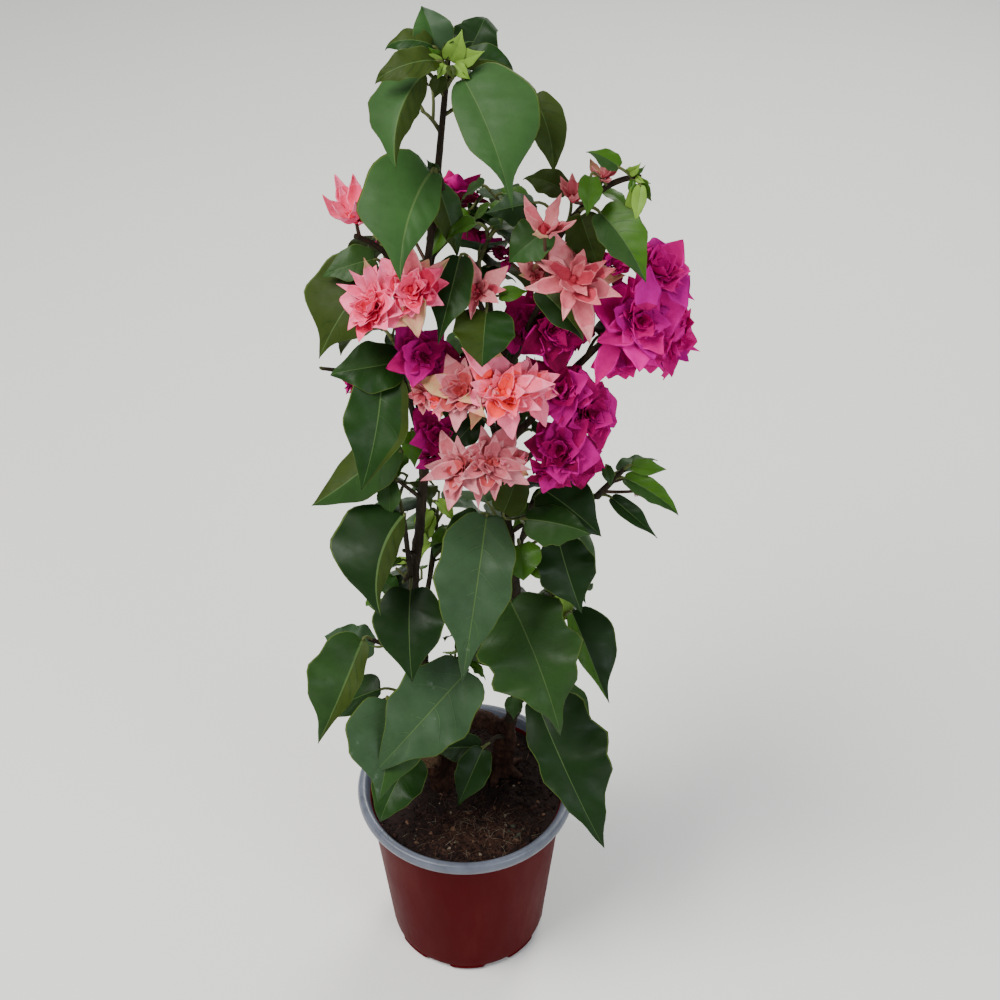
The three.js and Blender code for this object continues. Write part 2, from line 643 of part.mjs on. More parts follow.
// A bloom: bracts round a boss, the first ones spread wide and the last ones nearly closed
function addBloom(mass, curve, [place, bearing, stalk, rise, radius, bracts, faceBearing, faceRise], seed) {
  const root = curve.getPoint(Math.max(0, place - STALK_SET_BACK));
  const centre = curve.getPoint(place).addScaledVector(heading(bearing, rise), stalk);
  const stem = twigCurve(root, centre.clone().sub(root), 0);
  if (touches(limbSolid(stem, STALK_RADIUS, 3, 1, GAP), mass.name, OWN_KINDS)) return;
  mass.solids.push(limbSolid(stem, STALK_RADIUS, 3, 1));
  stand(mass.name, 'stalk', mass.solids.at(-1));
  const own = [toSolid(new THREE.OctahedronGeometry(BOSS_RADIUS).translate(...centre.toArray()))];
  const face = heading(faceBearing, faceRise);
  const acrossFace = heading(faceBearing + 90, 0);
  const upFace = face.clone().cross(acrossFace);
  const roll = dice(seed);
  for (let i = 0; i < Math.min(bracts, OUTER_BRACTS); i++) {
    const share = (i + 0.5) / bracts;
    const spread = radians(18 + 84 * (1 - share) ** 0.8 + 12 * (roll() - 0.5));
    const turn = radians(GOLDEN_ANGLE * i + 20 * (roll() - 0.5));
    const length = radius * (0.62 + 0.38 * (1 - share)) * (0.9 + 0.2 * roll());
    const outward = acrossFace.clone().multiplyScalar(Math.cos(turn)).addScaledVector(upFace, Math.sin(turn));
    const along = face.clone().multiplyScalar(Math.cos(spread)).addScaledVector(outward, Math.sin(spread));
    const frame = bladeFrame(centre.clone().addScaledVector(along, BRACT_ROOT), along, face, 0);
    const tested = bladeSolid(frame, bractShape(length - BRACT_ROOT, GAP));
    if (leavesSpace(tested, mass.space) || touches(tested, mass.name, ['stalk', 'twig'])) continue;
    own.push(bladeSolid(frame, bractShape(length - BRACT_ROOT, 0)));
  }
  for (const solid of own) stand(mass.name, 'bract', solid);
  mass.solids.push(...own);
}

// Side twigs with leaves, placed by the seeded rule
function addSprays(mass, curve) {
  const rule = mass.sprays;
  for (let i = 0; i < (rule ? rule.count : 0); i++) {
    const roll = dice(mass.seed * 1000 + i);
    const place = 0.15 + 0.8 * (i + roll()) / rule.count;
    const bearing = rule.bearing + rule.spread * (2 * ((i * 0.618 + roll() * 0.3) % 1) - 1);
    const rise = 12 + 34 * roll();
    const start = curve.getPoint(place);
    const reach = heading(bearing, rise).multiplyScalar(rule.reach * (0.75 + 0.5 * roll()));
    const twig = twigCurve(start, reach, 2);
    if (touches(limbSolid(twig, TWIG_RADIUS, 3, 2, GAP), mass.name, ['stem', 'stalk', 'twig'])) continue;
    mass.solids.push(limbSolid(twig, TWIG_RADIUS, 3, 2));
    stand(mass.name, 'twig', mass.solids.at(-1));
    for (let j = 0; j < rule.leaves; j++) {
      const along = (j + 1) / rule.leaves;
      const sway = (j % 2 ? 1 : -1) * 55 * (1 - 0.6 * along) + 30 * (roll() - 0.5);
      const length = rule.length[0] + (rule.length[1] - rule.length[0]) * roll();
      const leaf = {
        bearing: bearing + sway,
        droop: 22 + 34 * roll(),
        length,
        width: 0.58 + 0.12 * roll(),
        roll: 30 * (roll() - 0.5),
      };
      addLeaf(mass, twig, 0.96 * along, [bearing + sway, 28, 8 + 5 * roll()], leaf);
    }
  }
}

// The pot: a thin tapered wall with a rolled lip, a flat underside and drain notches round its corner
function potSolid() {
  const outline = [
    [0, 0],
    [FOOT_RADIUS, 0],
    [CORNER_RADIUS - 2, 2.4],
    [CORNER_RADIUS, 7],
    [NECK_RADIUS, POT_HEIGHT - LIP_DEPTH - 1],
    [RIM_RADIUS - 1.6, POT_HEIGHT - LIP_DEPTH],
    [RIM_RADIUS, POT_HEIGHT - 6],
    [RIM_RADIUS - 0.8, POT_HEIGHT - 2],
    [RIM_RADIUS - 3, POT_HEIGHT],
    [RIM_RADIUS - LIP_WIDTH + 1.6, POT_HEIGHT],
    [RIM_RADIUS - LIP_WIDTH, POT_HEIGHT - 2],
    [NECK_RADIUS - WALL, POT_HEIGHT - LIP_DEPTH - 1.5],
    [CORNER_RADIUS - WALL, 12],
    [CORNER_RADIUS - 5, CORNER_FLOOR],
    [FOOT_RADIUS - 5, CORNER_FLOOR],
    [FOOT_RADIUS - 8, FLOOR],
    [0, FLOOR],
  ];
  const wall = toSolid(new THREE.LatheGeometry(outline.map(([r, z]) => new THREE.Vector2(r, z)), POT_SIDES)
    .rotateX(Math.PI / 2));
  const notches = [];
  for (let i = 0; i < NOTCHES; i++) {
    const notch = new THREE.BoxGeometry(...NOTCH_SIZE)
      .translate(FOOT_RADIUS + 1.5 + NOTCH_SIZE[0] / 2, 0, NOTCH_SIZE[2] / 2 - 0.5)
      .rotateZ((i + 0.5) * 2 * Math.PI / NOTCHES);
    notches.push(toSolid(notch));
  }
  return wall.subtract(join(notches));
}

// The soil that fills the pot, rough on top and flat where the stems stand
function soilSolid() {
  const outline = [[0, FLOOR + GAP], [FOOT_RADIUS - 9, FLOOR + GAP], [FOOT_RADIUS - 6, CORNER_FLOOR + GAP],
    [CORNER_RADIUS - 6, CORNER_FLOOR + GAP], [CORNER_RADIUS - WALL - 1.2, 13], [SOIL_RADIUS, SOIL_TOP - 2],
    ...SOIL_RINGS.map((radius) => [radius, SOIL_TOP]), [0, SOIL_TOP]];
  const geometry = new THREE.LatheGeometry(outline.map(([r, z]) => new THREE.Vector2(r, z)), SOIL_SIDES)
    .rotateX(Math.PI / 2);
  const position = geometry.attributes.position;
  for (let i = 0; i < position.count; i++) {
    const [x, y, z] = [position.getX(i), position.getY(i), position.getZ(i)];
    const bump = SOIL_ROUGHNESS * Math.sin(x * 0.23 + 1) * Math.cos(y * 0.19 - x * 0.07);
    const rough = z > SOIL_TOP - 1 && Math.hypot(x, y) > SOIL_RINGS.at(-1) + 1;
    if (rough) position.setZ(i, z + bump - SOIL_ROUGHNESS);
  }
  return toSolid(geometry);
}

// The limbs of the woody base, wider by a little where other stems have to stand clear of them
function woodyLimbs(grow) {
  return WOODY_LIMBS.map(({ path, radius, steps }) => (
    limbSolid(smoothCurve(path), radius, WOODY_SIDES, steps, grow)
  ));
}

// The woody base: a main foot with root flares, an arched old limb with its knob, and a pruned stub
function woodyBaseSolid() {
  const ground = SOIL_TOP + GAP;
  const knob = new THREE.IcosahedronGeometry(KNOB.radius, 1).scale(...KNOB.scale).translate(...KNOB.centre);
  const pieces = [...woodyLimbs(0), toSolid(knob)];
  const [x, y] = WOODY_LIMBS[0].path[0];
  for (const [bearing, reach] of ROOT_FLARES) {
    const run = heading(bearing, -14).multiplyScalar(reach);
    pieces.push(limbSolid(twigCurve(new THREE.Vector3(x, y, ground + 4), run, 0.5), ROOT_RADIUS, 5, 2));
  }
  const below = new THREE.BoxGeometry(200, 200, 40).translate(0, 0, ground - 20);
  return join(pieces).subtract(toSolid(below));
}

// The point of a limb's middle line at a height, found by halving
function pointAtHeight(curve, height) {
  let [low, high] = [0, 1];
  for (let i = 0; i < 30; i++) {
    const middle = (low + high) / 2;
    if (curve.getPoint(middle).z < height) low = middle;
    else high = middle;
  }
  return curve.getPoint(high);
}

const limbSteps = (limb) => 3 * (limb.path.length - 1);

const bush = new THREE.Group();

function addMesh(name, solid, colour, roughness) {
  const material = new THREE.MeshStandardMaterial({ color: colour, roughness, metalness: 0 });
  const mesh = new THREE.Mesh(toGeometry(solid), material);
  mesh.name = name;
  bush.add(mesh);
}

// Pot, soil and wood
const pot = potSolid();
const soil = soilSolid();
const woodyBase = woodyBaseSolid();
addMesh('pot', pot, 0x5a2020, 0.4);
addMesh('soil', soil, 0x2a1c14, 1);
addMesh('woody_base', woodyBase, 0x5a4332, 0.9);
stand('pot', 'limb', pot);
stand('soil', 'limb', soil);
stand('woody_base', 'limb', woodyBase);

const curves = {};
for (const [name, limb] of Object.entries(LIMBS)) {
  curves[name] = smoothCurve(limb.path);
  let solid = limbSolid(curves[name], limb.radius, LIMB_SIDES, limbSteps(limb));
  if (limb.rests === 'woody_base') solid = largestBody(solid.subtract(join(woodyLimbs(GAP))));
  else if (limb.rests) solid = largestBody(solid.subtract(grownLimb(limb.rests)));
  addMesh(name, solid, 0x4a3a28, 0.85);
  stand(name, 'limb', solid);
}

// A limb a little wider, for cutting what has to stand clear of it
function grownLimb(name) {
  const limb = LIMBS[name];
  return limbSolid(curves[name], limb.radius, LIMB_SIDES, limbSteps(limb), GAP);
}

// Every mass's own stem comes first, then the leaves and blooms that are set one by one, then the sprays
for (const mass of MASSES) {
  const limb = LIMBS[mass.limb];
  const atTip = limb && mass.height >= limb.path.at(-1)[2];
  const start = mass.start ? vector(mass.start) : pointAtHeight(curves[mass.limb], mass.height);
  if (atTip) start.add(vector(mass.reach).normalize().multiplyScalar(GAP));
  mass.curve = twigCurve(start, vector(mass.reach), mass.lift);
  mass.solids = [limbSolid(mass.curve, STEM_RADIUS, 5, mass.lift > 5 ? 6 : 3)];
  stand(mass.name, 'stem', mass.solids[0]);
}
for (const mass of MASSES) {
  for (const [place, bearing, stalk, rise, ...leaf] of mass.leaves) {
    const [leafBearing, droop, length, width, roll] = leaf;
    const shape = { bearing: leafBearing, droop, length, width, roll };
    addLeaf(mass, mass.curve, place, [bearing, rise, stalk], shape);
  }
}
for (const mass of MASSES) {
  mass.blooms.forEach((bloom, i) => addBloom(mass, mass.curve, bloom, mass.seed * 100 + i));
}
for (const mass of MASSES) addSprays(mass, mass.curve);
for (const mass of MASSES) {
  const rest = mass.limb === 'woody_base' ? join(woodyLimbs(GAP)) : grownLimb(mass.limb);
  const [colour, roughness] = COLOURS[mass.colour];
  addMesh(mass.name, largestBody(join(mass.solids).subtract(rest)), colour, roughness);
}

export default bush;
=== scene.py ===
"""A bougainvillea bush in a plastic nursery pot: the fine pot, soil, wood, leaves and blossom."""

import functools
import math
from collections import namedtuple

import bpy
import numpy as np
from bpy.props import FloatProperty, FloatVectorProperty, IntProperty, PointerProperty
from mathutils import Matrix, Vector, noise
from mathutils.bvhtree import BVHTree


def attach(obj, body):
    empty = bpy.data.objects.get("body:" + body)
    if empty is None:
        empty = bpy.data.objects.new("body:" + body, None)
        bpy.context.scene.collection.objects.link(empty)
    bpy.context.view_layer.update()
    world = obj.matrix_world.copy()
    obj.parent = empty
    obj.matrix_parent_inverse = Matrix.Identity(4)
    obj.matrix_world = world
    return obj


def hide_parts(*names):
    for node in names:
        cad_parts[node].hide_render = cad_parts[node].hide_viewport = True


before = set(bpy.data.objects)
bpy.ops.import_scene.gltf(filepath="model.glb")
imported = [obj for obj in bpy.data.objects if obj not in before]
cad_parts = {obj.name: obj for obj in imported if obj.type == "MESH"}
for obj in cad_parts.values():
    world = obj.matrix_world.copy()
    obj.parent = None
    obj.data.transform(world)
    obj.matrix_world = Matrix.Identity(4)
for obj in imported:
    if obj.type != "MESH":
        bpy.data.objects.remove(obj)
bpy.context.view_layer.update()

bl_info = {
    "name": "Potted bougainvillea bush",
    "version": (1, 0, 0),
    "blender": (4, 5, 0),
    "location": "3D View > Sidebar > Bush",
    "description": "Builds the fine pot, soil, wood, leaves and blossom of a potted bougainvillea",
    "category": "Object",
}

# Sizes of the plant are in millimetres, as the solids' own are, and MM turns them into metres
MM = 0.001
GAP = 0.3
UP = np.array([0.0, 0.0, 1.0])
GOLDEN_ANGLE = 137.5

# Where the seeded draws of each kind start
MORE_BLOOM_SEED = 600
GROUND_SEED = 4020
SOIL_BIT_SEED = 4021
LEAF_SEED = 7000
FINE_TWIG_SEED = 9000
BRACT_SEED = 50000
LONG_BRACT_SEED = 70000

# The pot and soil
RIM_RADIUS = 85
POT_HEIGHT = 162
FOOT_RADIUS = 55
CORNER_RADIUS = 63
NECK_RADIUS = 76.5
WALL = 1.5
LIP_DEPTH = 9.5
NOTCHES = 8
NOTCH_ARC = 11
NOTCH_HEIGHT = 2.7
SOIL_TOP = 150
SOIL_RADIUS = 74.6
SOIL_FOOT = 5.2

# The coarse leaf and bract of the solids, which every leaf and bract here has to find room for: how a blade
# narrows to its foot and tip, the shares of its rows, its arch and fold in degrees, and its thickness
Form = namedtuple("Form", "taper rows arch fold thickness")
LEAF_FORM = Form((0.62, 1.12), (0, 0.2, 0.56, 1), 38, 16, 0.014)
BRACT_FORM = Form((0.75, 0.95), (0, 0.44, 1), 24, 12, 0.03)
BRACT_WIDTH = 0.48
STALK_RADIUS = (1.2, 0.9)
STEM_RADIUS = (2, 1.2)
TWIG_RADIUS = (1.5, 1)

# The fine stems, twigs and the finest twigs, which grow on from them
FINE_STEM_RADIUS = (1.7, 0.95)
FINE_TWIG_RADIUS = (1.1, 0.6)
FINEST_TWIG_RADIUS = (0.65, 0.4)
FINEST_TWIG_ROOM = (0.8, 0.5)

# How the solids' leaves, bracts and stalks are set
BRACT_ROOT = 1.7
STALK_SET_BACK = 0.06
OUTER_BRACTS = 7
NUDGES = [(0, 0), (7, 4), (-7, 4), (14, 8), (-14, 8), (0, -9), (20, -6), (-20, -6)]
OWN_KINDS = ("stalk", "stem", "twig", "blade", "bract")

# A limb has the points that its middle runs through, and its foot and tip radius. Those of the woody base
# run from below the soil's top
Limb = namedtuple("Limb", "path radius")
WOODY_LIMBS = [
    Limb([(27, 24, 140), (29, 26, 166), (34, 29, 200)], (11, 5.6)),
    Limb([(30, 27, 172), (20, 27, 199), (2, 24, 203), (-13, 17, 186), (-18, 9, 140)], (6.2, 8.7)),
    Limb([(-18, 9, 140), (-21, 6, 165), (-28, 2, 186)], (10, 7.6)),
]
KNOB_CENTRE = (10, 26, 203)
KNOB_RADIUS = 8.5
KNOB_SCALE = (1.2, 1, 0.85)
ROOT_FLARES = [(-75, 30), (-20, 22), (60, 20), (120, 22), (195, 18)]
ROOT_RADIUS = (5, 1.8)

# The two stems and the three boughs
LIMBS = {
    "left_stem": Limb([(-14, 17, 190), (-26, 14, 240), (-35, 12, 345), (-28, 14, 414),
        (-23, 14, 482), (-27, 12, 543), (-16, 8, 624), (-12, 5, 652)], (4.6, 2.2)),
    "right_stem": Limb([(34, 29, 195), (40, 26, 240), (38, 20, 335), (30, 15, 431), (26, 10, 500),
        (20, 8, 590)], (5, 2.2)),
    "upper_right_bough": Limb([(24, 10, 538), (38, 9, 578), (53, 5, 622)], (2.6, 2)),
    "middle_right_bough": Limb([(27, 11, 480), (50, 2, 512), (73, -5, 552)], (2.6, 2)),
    "lower_right_bough": Limb([(32, 17, 400), (60, 6, 432), (90, -10, 454)], (2.5, 1.8)),
}

# A mass of foliage or blossom: its limb, the height on it or the place where its stem starts, the stem's
# reach and the lift of its middle, its colour, its seed and the box that it keeps to. A leaf has its place on
# the stem, the bearing, length and rise of its stalk, and its own bearing, droop, length, width and roll. A
# bloom has its place and stalk alike, then its radius, its number of bracts and the bearing and rise of its
# face. Sprays have their number, leaves and reach, their middle bearing, its spread and the leaves' lengths.
MASS_PARTS = "name limb start reach lift colour seed space leaves blooms sprays"
Mass = namedtuple("Mass", MASS_PARTS, defaults=((), ()))
MASSES = [
    Mass("crown_top_foliage", "left_stem", 652, (10.5, -5, 94), 0,
        "leaf", 11, ((-75, -65, 600), (75, 75, 785)), [
        (1, -90, 8, 57, -146, -46, 24, 0.7, -20), (0.97, -78, 12, 33, -98, -9, 27, 0.45, -35),
        (0.95, -55, 16, 28, -76, 17, 33, 0.5, -40), (0.84, -52, 12, 25, -33, 41, 58, 0.66, -22),
        (0.88, 62, 24, 34, 27, 42, 76, 0.74, 22), (0.97, 135, 13, 31, 118, -31, 24, 0.65, 30),
        (0.9, 113, 15, 25, 102, -14, 27, 0.6, 40), (0.72, 98, 52, 4, 30, 50, 42, 0.36, 14),
        (0.32, -42, 16, 31, -24, 42, 72, 0.78, -15), (0.2, 150, 14, 31, 60, 50, 46, 0.5, 10),
        (1, 0, 5, 60, 20, -50, 16, 0.5, 0), (1, 120, 5, 60, 75, -30, 16, 0.5, 0),
    ], [], (3, 2, 24, 175, 50, (38, 54))),
    Mass("left_shoulder_foliage", "left_stem", 560, (-20, -6, 56), 4,
        "leaf", 23, ((-100, -60, 530), (10, 80, 690)), [
        (1, -20, 10, 62, -78, 14, 35, 0.66, -40), (0.8, -50, 14, 35, -62, 33, 60, 0.64, -30),
        (0.6, 175, 14, 20, 170, 26, 46, 0.62, 0),
    ], [], (2, 2, 30, 170, 30, (40, 54))),
    Mass("left_blossom", "left_stem", 592, (-36, -16, 52), 8,
        "pink", 29, ((-100, -60, 560), (10, 60, 700)), [], [
        (1, -108, 24, 79, 18, 9, -10, 76), (0.3, -24, 37, -8, 23, 14, -35, 40),
        (0.27, 11, 31, 11, 24, 15, 0, 45), (0.75, 150, 18, 20, 19, 12, 165, 40),
    ]),
    Mass("left_middle_foliage", "left_stem", 470, (-12, -18, 82), 0,
        "leaf", 31, ((-105, -70, 420), (20, 70, 610)), [
        (1, -60, 6, 62, -76, 14, 48, 0.62, -40), (0.86, -48, 15, 30, -26, 44, 70, 0.62, -24),
        (0.34, -112, 18, -42, -67, 30, 70, 0.46, -36), (0.3, -20, 12, 30, 10, 55, 24, 0.6, 0),
        (0.5, -170, 20, 30, -175, 25, 50, 0.62, 0),
    ], [
        (0.75, -85, 34, 12, 10, 5, -80, 10),
    ], (2, 2, 32, -170, 25, (45, 58))),
    Mass("left_inner_blossom", "left_stem", 485, (6, -20, 60), 0,
        "magenta", 37, ((-70, -60, 470), (25, 40, 600)), [], [
        (1, -24, 23, 68, 21, 13, 5, 35), (0.32, 40, 14, -23, 18, 11, 5, 30),
        (0.9, 60, 16, 20, 18, 11, 30, 30),
    ]),
    Mass("left_lower_foliage", "left_stem", 345, (-3, -16, 87), 0,
        "leaf", 43, ((-100, -75, 290), (10, 80, 470)), [
        (1, -80, 11, 30, -25, 44, 71, 0.64, -26), (0.3, -28, 18, -8, 2, 40, 60, 0.8, 4),
        (0.45, -60, 7, 40, -60, 20, 14, 0.5, 0), (0.7, -165, 22, 30, -170, 32, 56, 0.64, 0),
    ], [], (2, 2, 34, 178, 25, (48, 60))),
    Mass("left_skirt_foliage", "left_stem", 285, (-36, -16, 33), 0,
        "leaf", 53, ((-120, -75, 195), (0, 85, 345)), [
        (1, -60, 11, 20, -38, 46, 80, 0.52, -36), (0.75, -120, 14, 0, -108, -10, 34, 0.7, -30),
        (0.45, -170, 26, 25, -170, 35, 62, 0.66, 0),
    ], [], (2, 2, 36, 175, 35, (50, 64))),
    Mass("low_left_foliage", "left_stem", 225, (-34, -42, 55), 8,
        "leaf", 61, ((-120, -110, 160), (0, 40, 320)), [
        (1, -44, 12, 40, -4, 46, 73, 0.56, -14), (0.5, 0, 36, -60, -16, 40, 60, 0.74, -17),
        (0.5, -100, 22, 15, -95, 40, 60, 0.64, -10),
    ]),
    Mass("low_centre_foliage", "left_stem", 240, (26, -31, 60), 0,
        "leaf", 71, ((-90, -110, 190), (60, 80, 330)), [
        (1, 19, 10, 42, -50, 32, 99, 0.68, -34), (0.6, 150, 22, 20, 140, 30, 60, 0.64, 0),
    ], [], (1, 2, 34, 170, 20, (48, 60))),
    Mass("foot_foliage", "woody_base", (31, 28, 178), (-13, -30, 27), 6,
        "leaf", 79, ((-50, -60, 155), (60, 60, 230)), [
        (1, -9, 9, 20, -40, 44, 49, 0.52, -26), (0.8, -50, 12, 0, -92, 8, 40, 0.6, -30),
    ]),
    Mass("centre_low_foliage", "right_stem", 395, (-12, -19, 33), 0,
        "leaf", 83, ((-60, -110, 320), (70, 90, 470)), [
        (0.97, -65, 11, 28, -14, 45, 100, 0.58, -10), (0.65, -105, 15, 30, -48, 40, 42, 0.68, -30),
        (0.4, -150, 24, 25, -160, 35, 56, 0.64, 0),
    ]),
    Mass("right_skirt_foliage", "right_stem", 320, (-6, -21, 38), 0,
        "leaf", 89, ((-40, -110, 240), (110, 90, 390)), [
        (1, 1, 9, 32, 27, 42, 102, 0.68, 20), (0.4, -120, 22, 20, -150, 40, 58, 0.66, 0),
    ]),
    Mass("right_foot_foliage", "right_stem", 215, (6, -26, 35), 0,
        "leaf", 97, ((-20, -110, 140), (140, 100, 290)), [
        (1, 64, 18, 24, 36, 42, 124, 0.44, 24), (1, -76, 10, 36, 4, 51, 18, 0.8, 0),
        (0.5, 165, 22, 20, 160, 38, 62, 0.64, 0),
    ], [], (2, 2, 34, 160, 50, (50, 66))),
    Mass("right_flank_foliage", "right_stem", 290, (35, -11, 35), 6,
        "leaf", 101, ((10, -70, 215), (112, 95, 385)), [
        (1, 46, 9, 50, 38, 47, 67, 0.46, 10), (0.6, 155, 22, 20, 158, 35, 58, 0.66, 0),
    ], [], (2, 2, 32, 165, 25, (46, 60))),
    Mass("right_middle_foliage", "right_stem", 365, (12, -23, 80), 0,
        "leaf", 103, ((-30, -75, 330), (120, 85, 500)), [
        (0.95, 100, 12, 35, 71, 22, 50, 0.76, 40), (0.75, 20, 18, 27, 75, 18, 46, 0.56, 30),
        (0.33, 61, 27, 13, 40, 47, 44, 0.74, 16), (0.45, -9, 22, 20, 20, 49, 22, 0.85, 10),
        (0.88, -61, 22, 30, 135, -38, 28, 0.66, 20), (0.6, 165, 22, 25, 160, 30, 54, 0.64, 0),
    ], [], (1, 2, 34, 150, 30, (45, 60))),
    Mass("right_twig_foliage", "lower_right_bough", 454, (16, -4, 25), 0,
        "leaf", 107, ((70, -60, 410), (160, 50, 520)), [
        (0.8, -80, 12, 45, 20, 46, 14, 0.6, 20), (1, 90, 6, 40, 86, 5, 24, 0.5, 40),
        (0.65, 61, 8, 28, 67, 26, 45, 0.42, 36), (0.1, 67, 10, 22, 58, 33, 41, 0.46, 30),
        (0.5, 160, 12, 30, 150, 20, 34, 0.55, 0),
    ], [
        (0.6, 105, 17, 10, 8, 5, 90, 20), (0.25, 88, 20, -2, 7, 4, 80, -10),
    ]),
    Mass("right_blossom", "middle_right_bough", 552, (25, -9, 36), 0,
        "magenta", 109, ((30, -65, 490), (150, 60, 660)), [
        (0.3, 150, 16, 20, 140, 30, 48, 0.62, 0),
    ], [
        (1, 97, 40, 60, 23, 14, 40, 60), (1, 60, 14, 30, 27, 16, 20, 30),
        (0.88, 88, 31, -8, 24, 14, 50, 5), (0.55, 66, 15, 0, 24, 14, 10, 5),
        (0.6, 160, 30, 10, 22, 12, 150, 30),
    ]),
    Mass("middle_blossom", "right_stem", 448, (33, -25, 60), 0,
        "magenta", 151, ((30, -65, 440), (118, 40, 580)), [
        (0.6, 130, 16, 20, 120, 30, 44, 0.62, 0),
    ], [
        (1, 15, 37, 78, 23, 13, 0, 45), (1, 73, 27, 41, 22, 12, 35, 35),
        (1, 10, 19, 0, 22, 12, -20, 30), (0.95, 66, 22, -40, 20, 12, 30, 10),
    ]),
    Mass("centre_tip_foliage", "right_stem", 590, (-8, -12, 34), 0,
        "leaf", 113, ((-55, -70, 540), (85, 80, 660)), [
        (0.3, 0, 26, 10, -6, 38, 34, 0.95, -5), (1, -71, 14, 28, -30, 50, 50, 0.42, -2),
        (0.42, 24, 24, 16, 96, -8, 18, 0.6, 40), (0.7, 180, 18, 30, 175, 30, 52, 0.62, 0),
    ], [], (1, 2, 34, 170, 30, (42, 56))),
    Mass("inner_blossom", "right_stem", 572, (-8, -14, 30), 0,
        "pink", 117, ((-30, -60, 560), (70, 60, 660)), [], [
        (1, 0, 12, 48, 19, 10, -10, 50),
    ]),
    Mass("centre_blossom", "right_stem", 470, (-10, -36, 70), 0,
        "coral", 127, ((-50, -85, 440), (90, 30, 600)), [
        (0.5, -120, 12, 30, -60, 40, 34, 0.6, -20),
    ], [
        (1, -47, 22, 40, 24, 14, -25, 45), (1, 32, 26, 40, 27, 16, 5, 50),
        (1, 77, 28, 28, 23, 13, 35, 40), (0.4, -37, 36, -7, 23, 14, -20, 35),
        (0.4, -7, 28, -1, 24, 14, 15, 40),
    ]),
    Mass("upper_right_foliage", "upper_right_bough", 622, (52, -15, 61), 14,
        "leaf", 131, ((0, -70, 575), (114, 70, 700)), [
        (0.97, -77, 13, 33, -107, -20, 20, 0.55, -30), (0.72, -46, 17, 29, -24, 49, 22, 0.62, -18),
        (0.42, 29, 17, 10, 41, 36, 45, 0.62, 31), (0.25, 61, 12, 21, 39, 44, 30, 0.66, 29),
        (0.9, 43, 8, -12, -12, 51, 22, 0.5, -9), (0.23, -96, 27, 29, -74, 19, 28, 0.66, -40),
        (0.25, -38, 16, 33, -78, 42, 34, 0.62, -36), (0.3, -120, 17, 27, -124, -30, 24, 0.7, -30),
        (0.5, 160, 18, 25, 165, 25, 48, 0.62, 0),
    ], [
        (0.5, -83, 14, 31, 10, 6, -60, 60), (0.78, -106, 12, 35, 9, 6, -40, 60),
    ], (1, 2, 26, 170, 20, (34, 44))),
    Mass("star_blossom", "right_stem", 522, (32, -23, 98), 0, "pink", 133, ((0, -70, 515), (114, 70, 690)), [
        (0.9, -10, 8, 30, 53, 37, 42, 0.42, 30),
    ], [
        (1, 20, 50, 76, 21, 10, -20, 60), (1, 48, 17, 17, 28, 14, 15, 45),
        (0.55, 78, 15, 14, 22, 13, 30, 30),
    ]),
    Mass("back_upper_foliage", "left_stem", 560, (16, 44, 60), 6,
        "leaf", 137, ((-70, 15, 500), (70, 100, 660)), [], [
        (0.95, 150, 18, 35, 23, 13, 170, 40), (0.6, -140, 22, 30, 22, 12, -160, 35),
    ], (4, 2, 34, 180, 90, (44, 58))),
    Mass("back_middle_foliage", "right_stem", 440, (2, 50, 62), 6,
        "leaf", 139, ((-60, 20, 380), (110, 110, 560)), [], [
        (1, 160, 20, 30, 24, 14, 175, 35), (0.7, 110, 26, 20, 22, 12, 130, 30),
    ], (5, 2, 38, 175, 85, (48, 60))),
    Mass("back_low_foliage", "left_stem", 300, (14, 50, 60), 6,
        "leaf", 149, ((-90, 20, 200), (70, 115, 420)), [], [], (5, 2, 40, 180, 95, (52, 66))),
]

# Tones of leaf skin, by their place in the list of leaf finishes. Deep and shaded are darkened greens that
# paint the shade on the lower and inner leaves, and pale is lightened to paint the light from above and the
# sky's sheen on the crown. Fresh also paints a leaf's lit half, olive, besides the undersides, a backlit half
# turned from the light, and edge paints a highlight along the margins
DEEP, MID, PALE, FRESH, YOUNG, OLIVE, RIB, EDGE_HIGHLIGHT, DUSTY, SHADED, VEIN = range(11)


def own(tones, shift=(0, 0, 0), shape=(), **habit):
    """What a leaf has of its own: the tones of its two halves, which paint the light on a lit half and the
    shade on a half turned away, its foot's shift, its shape and its habit.
    """
    shape = dict(zip(("bearing", "droop", "length", "width"), shape))
    return {"tones": tones, "shift": shift, **shape, **habit}
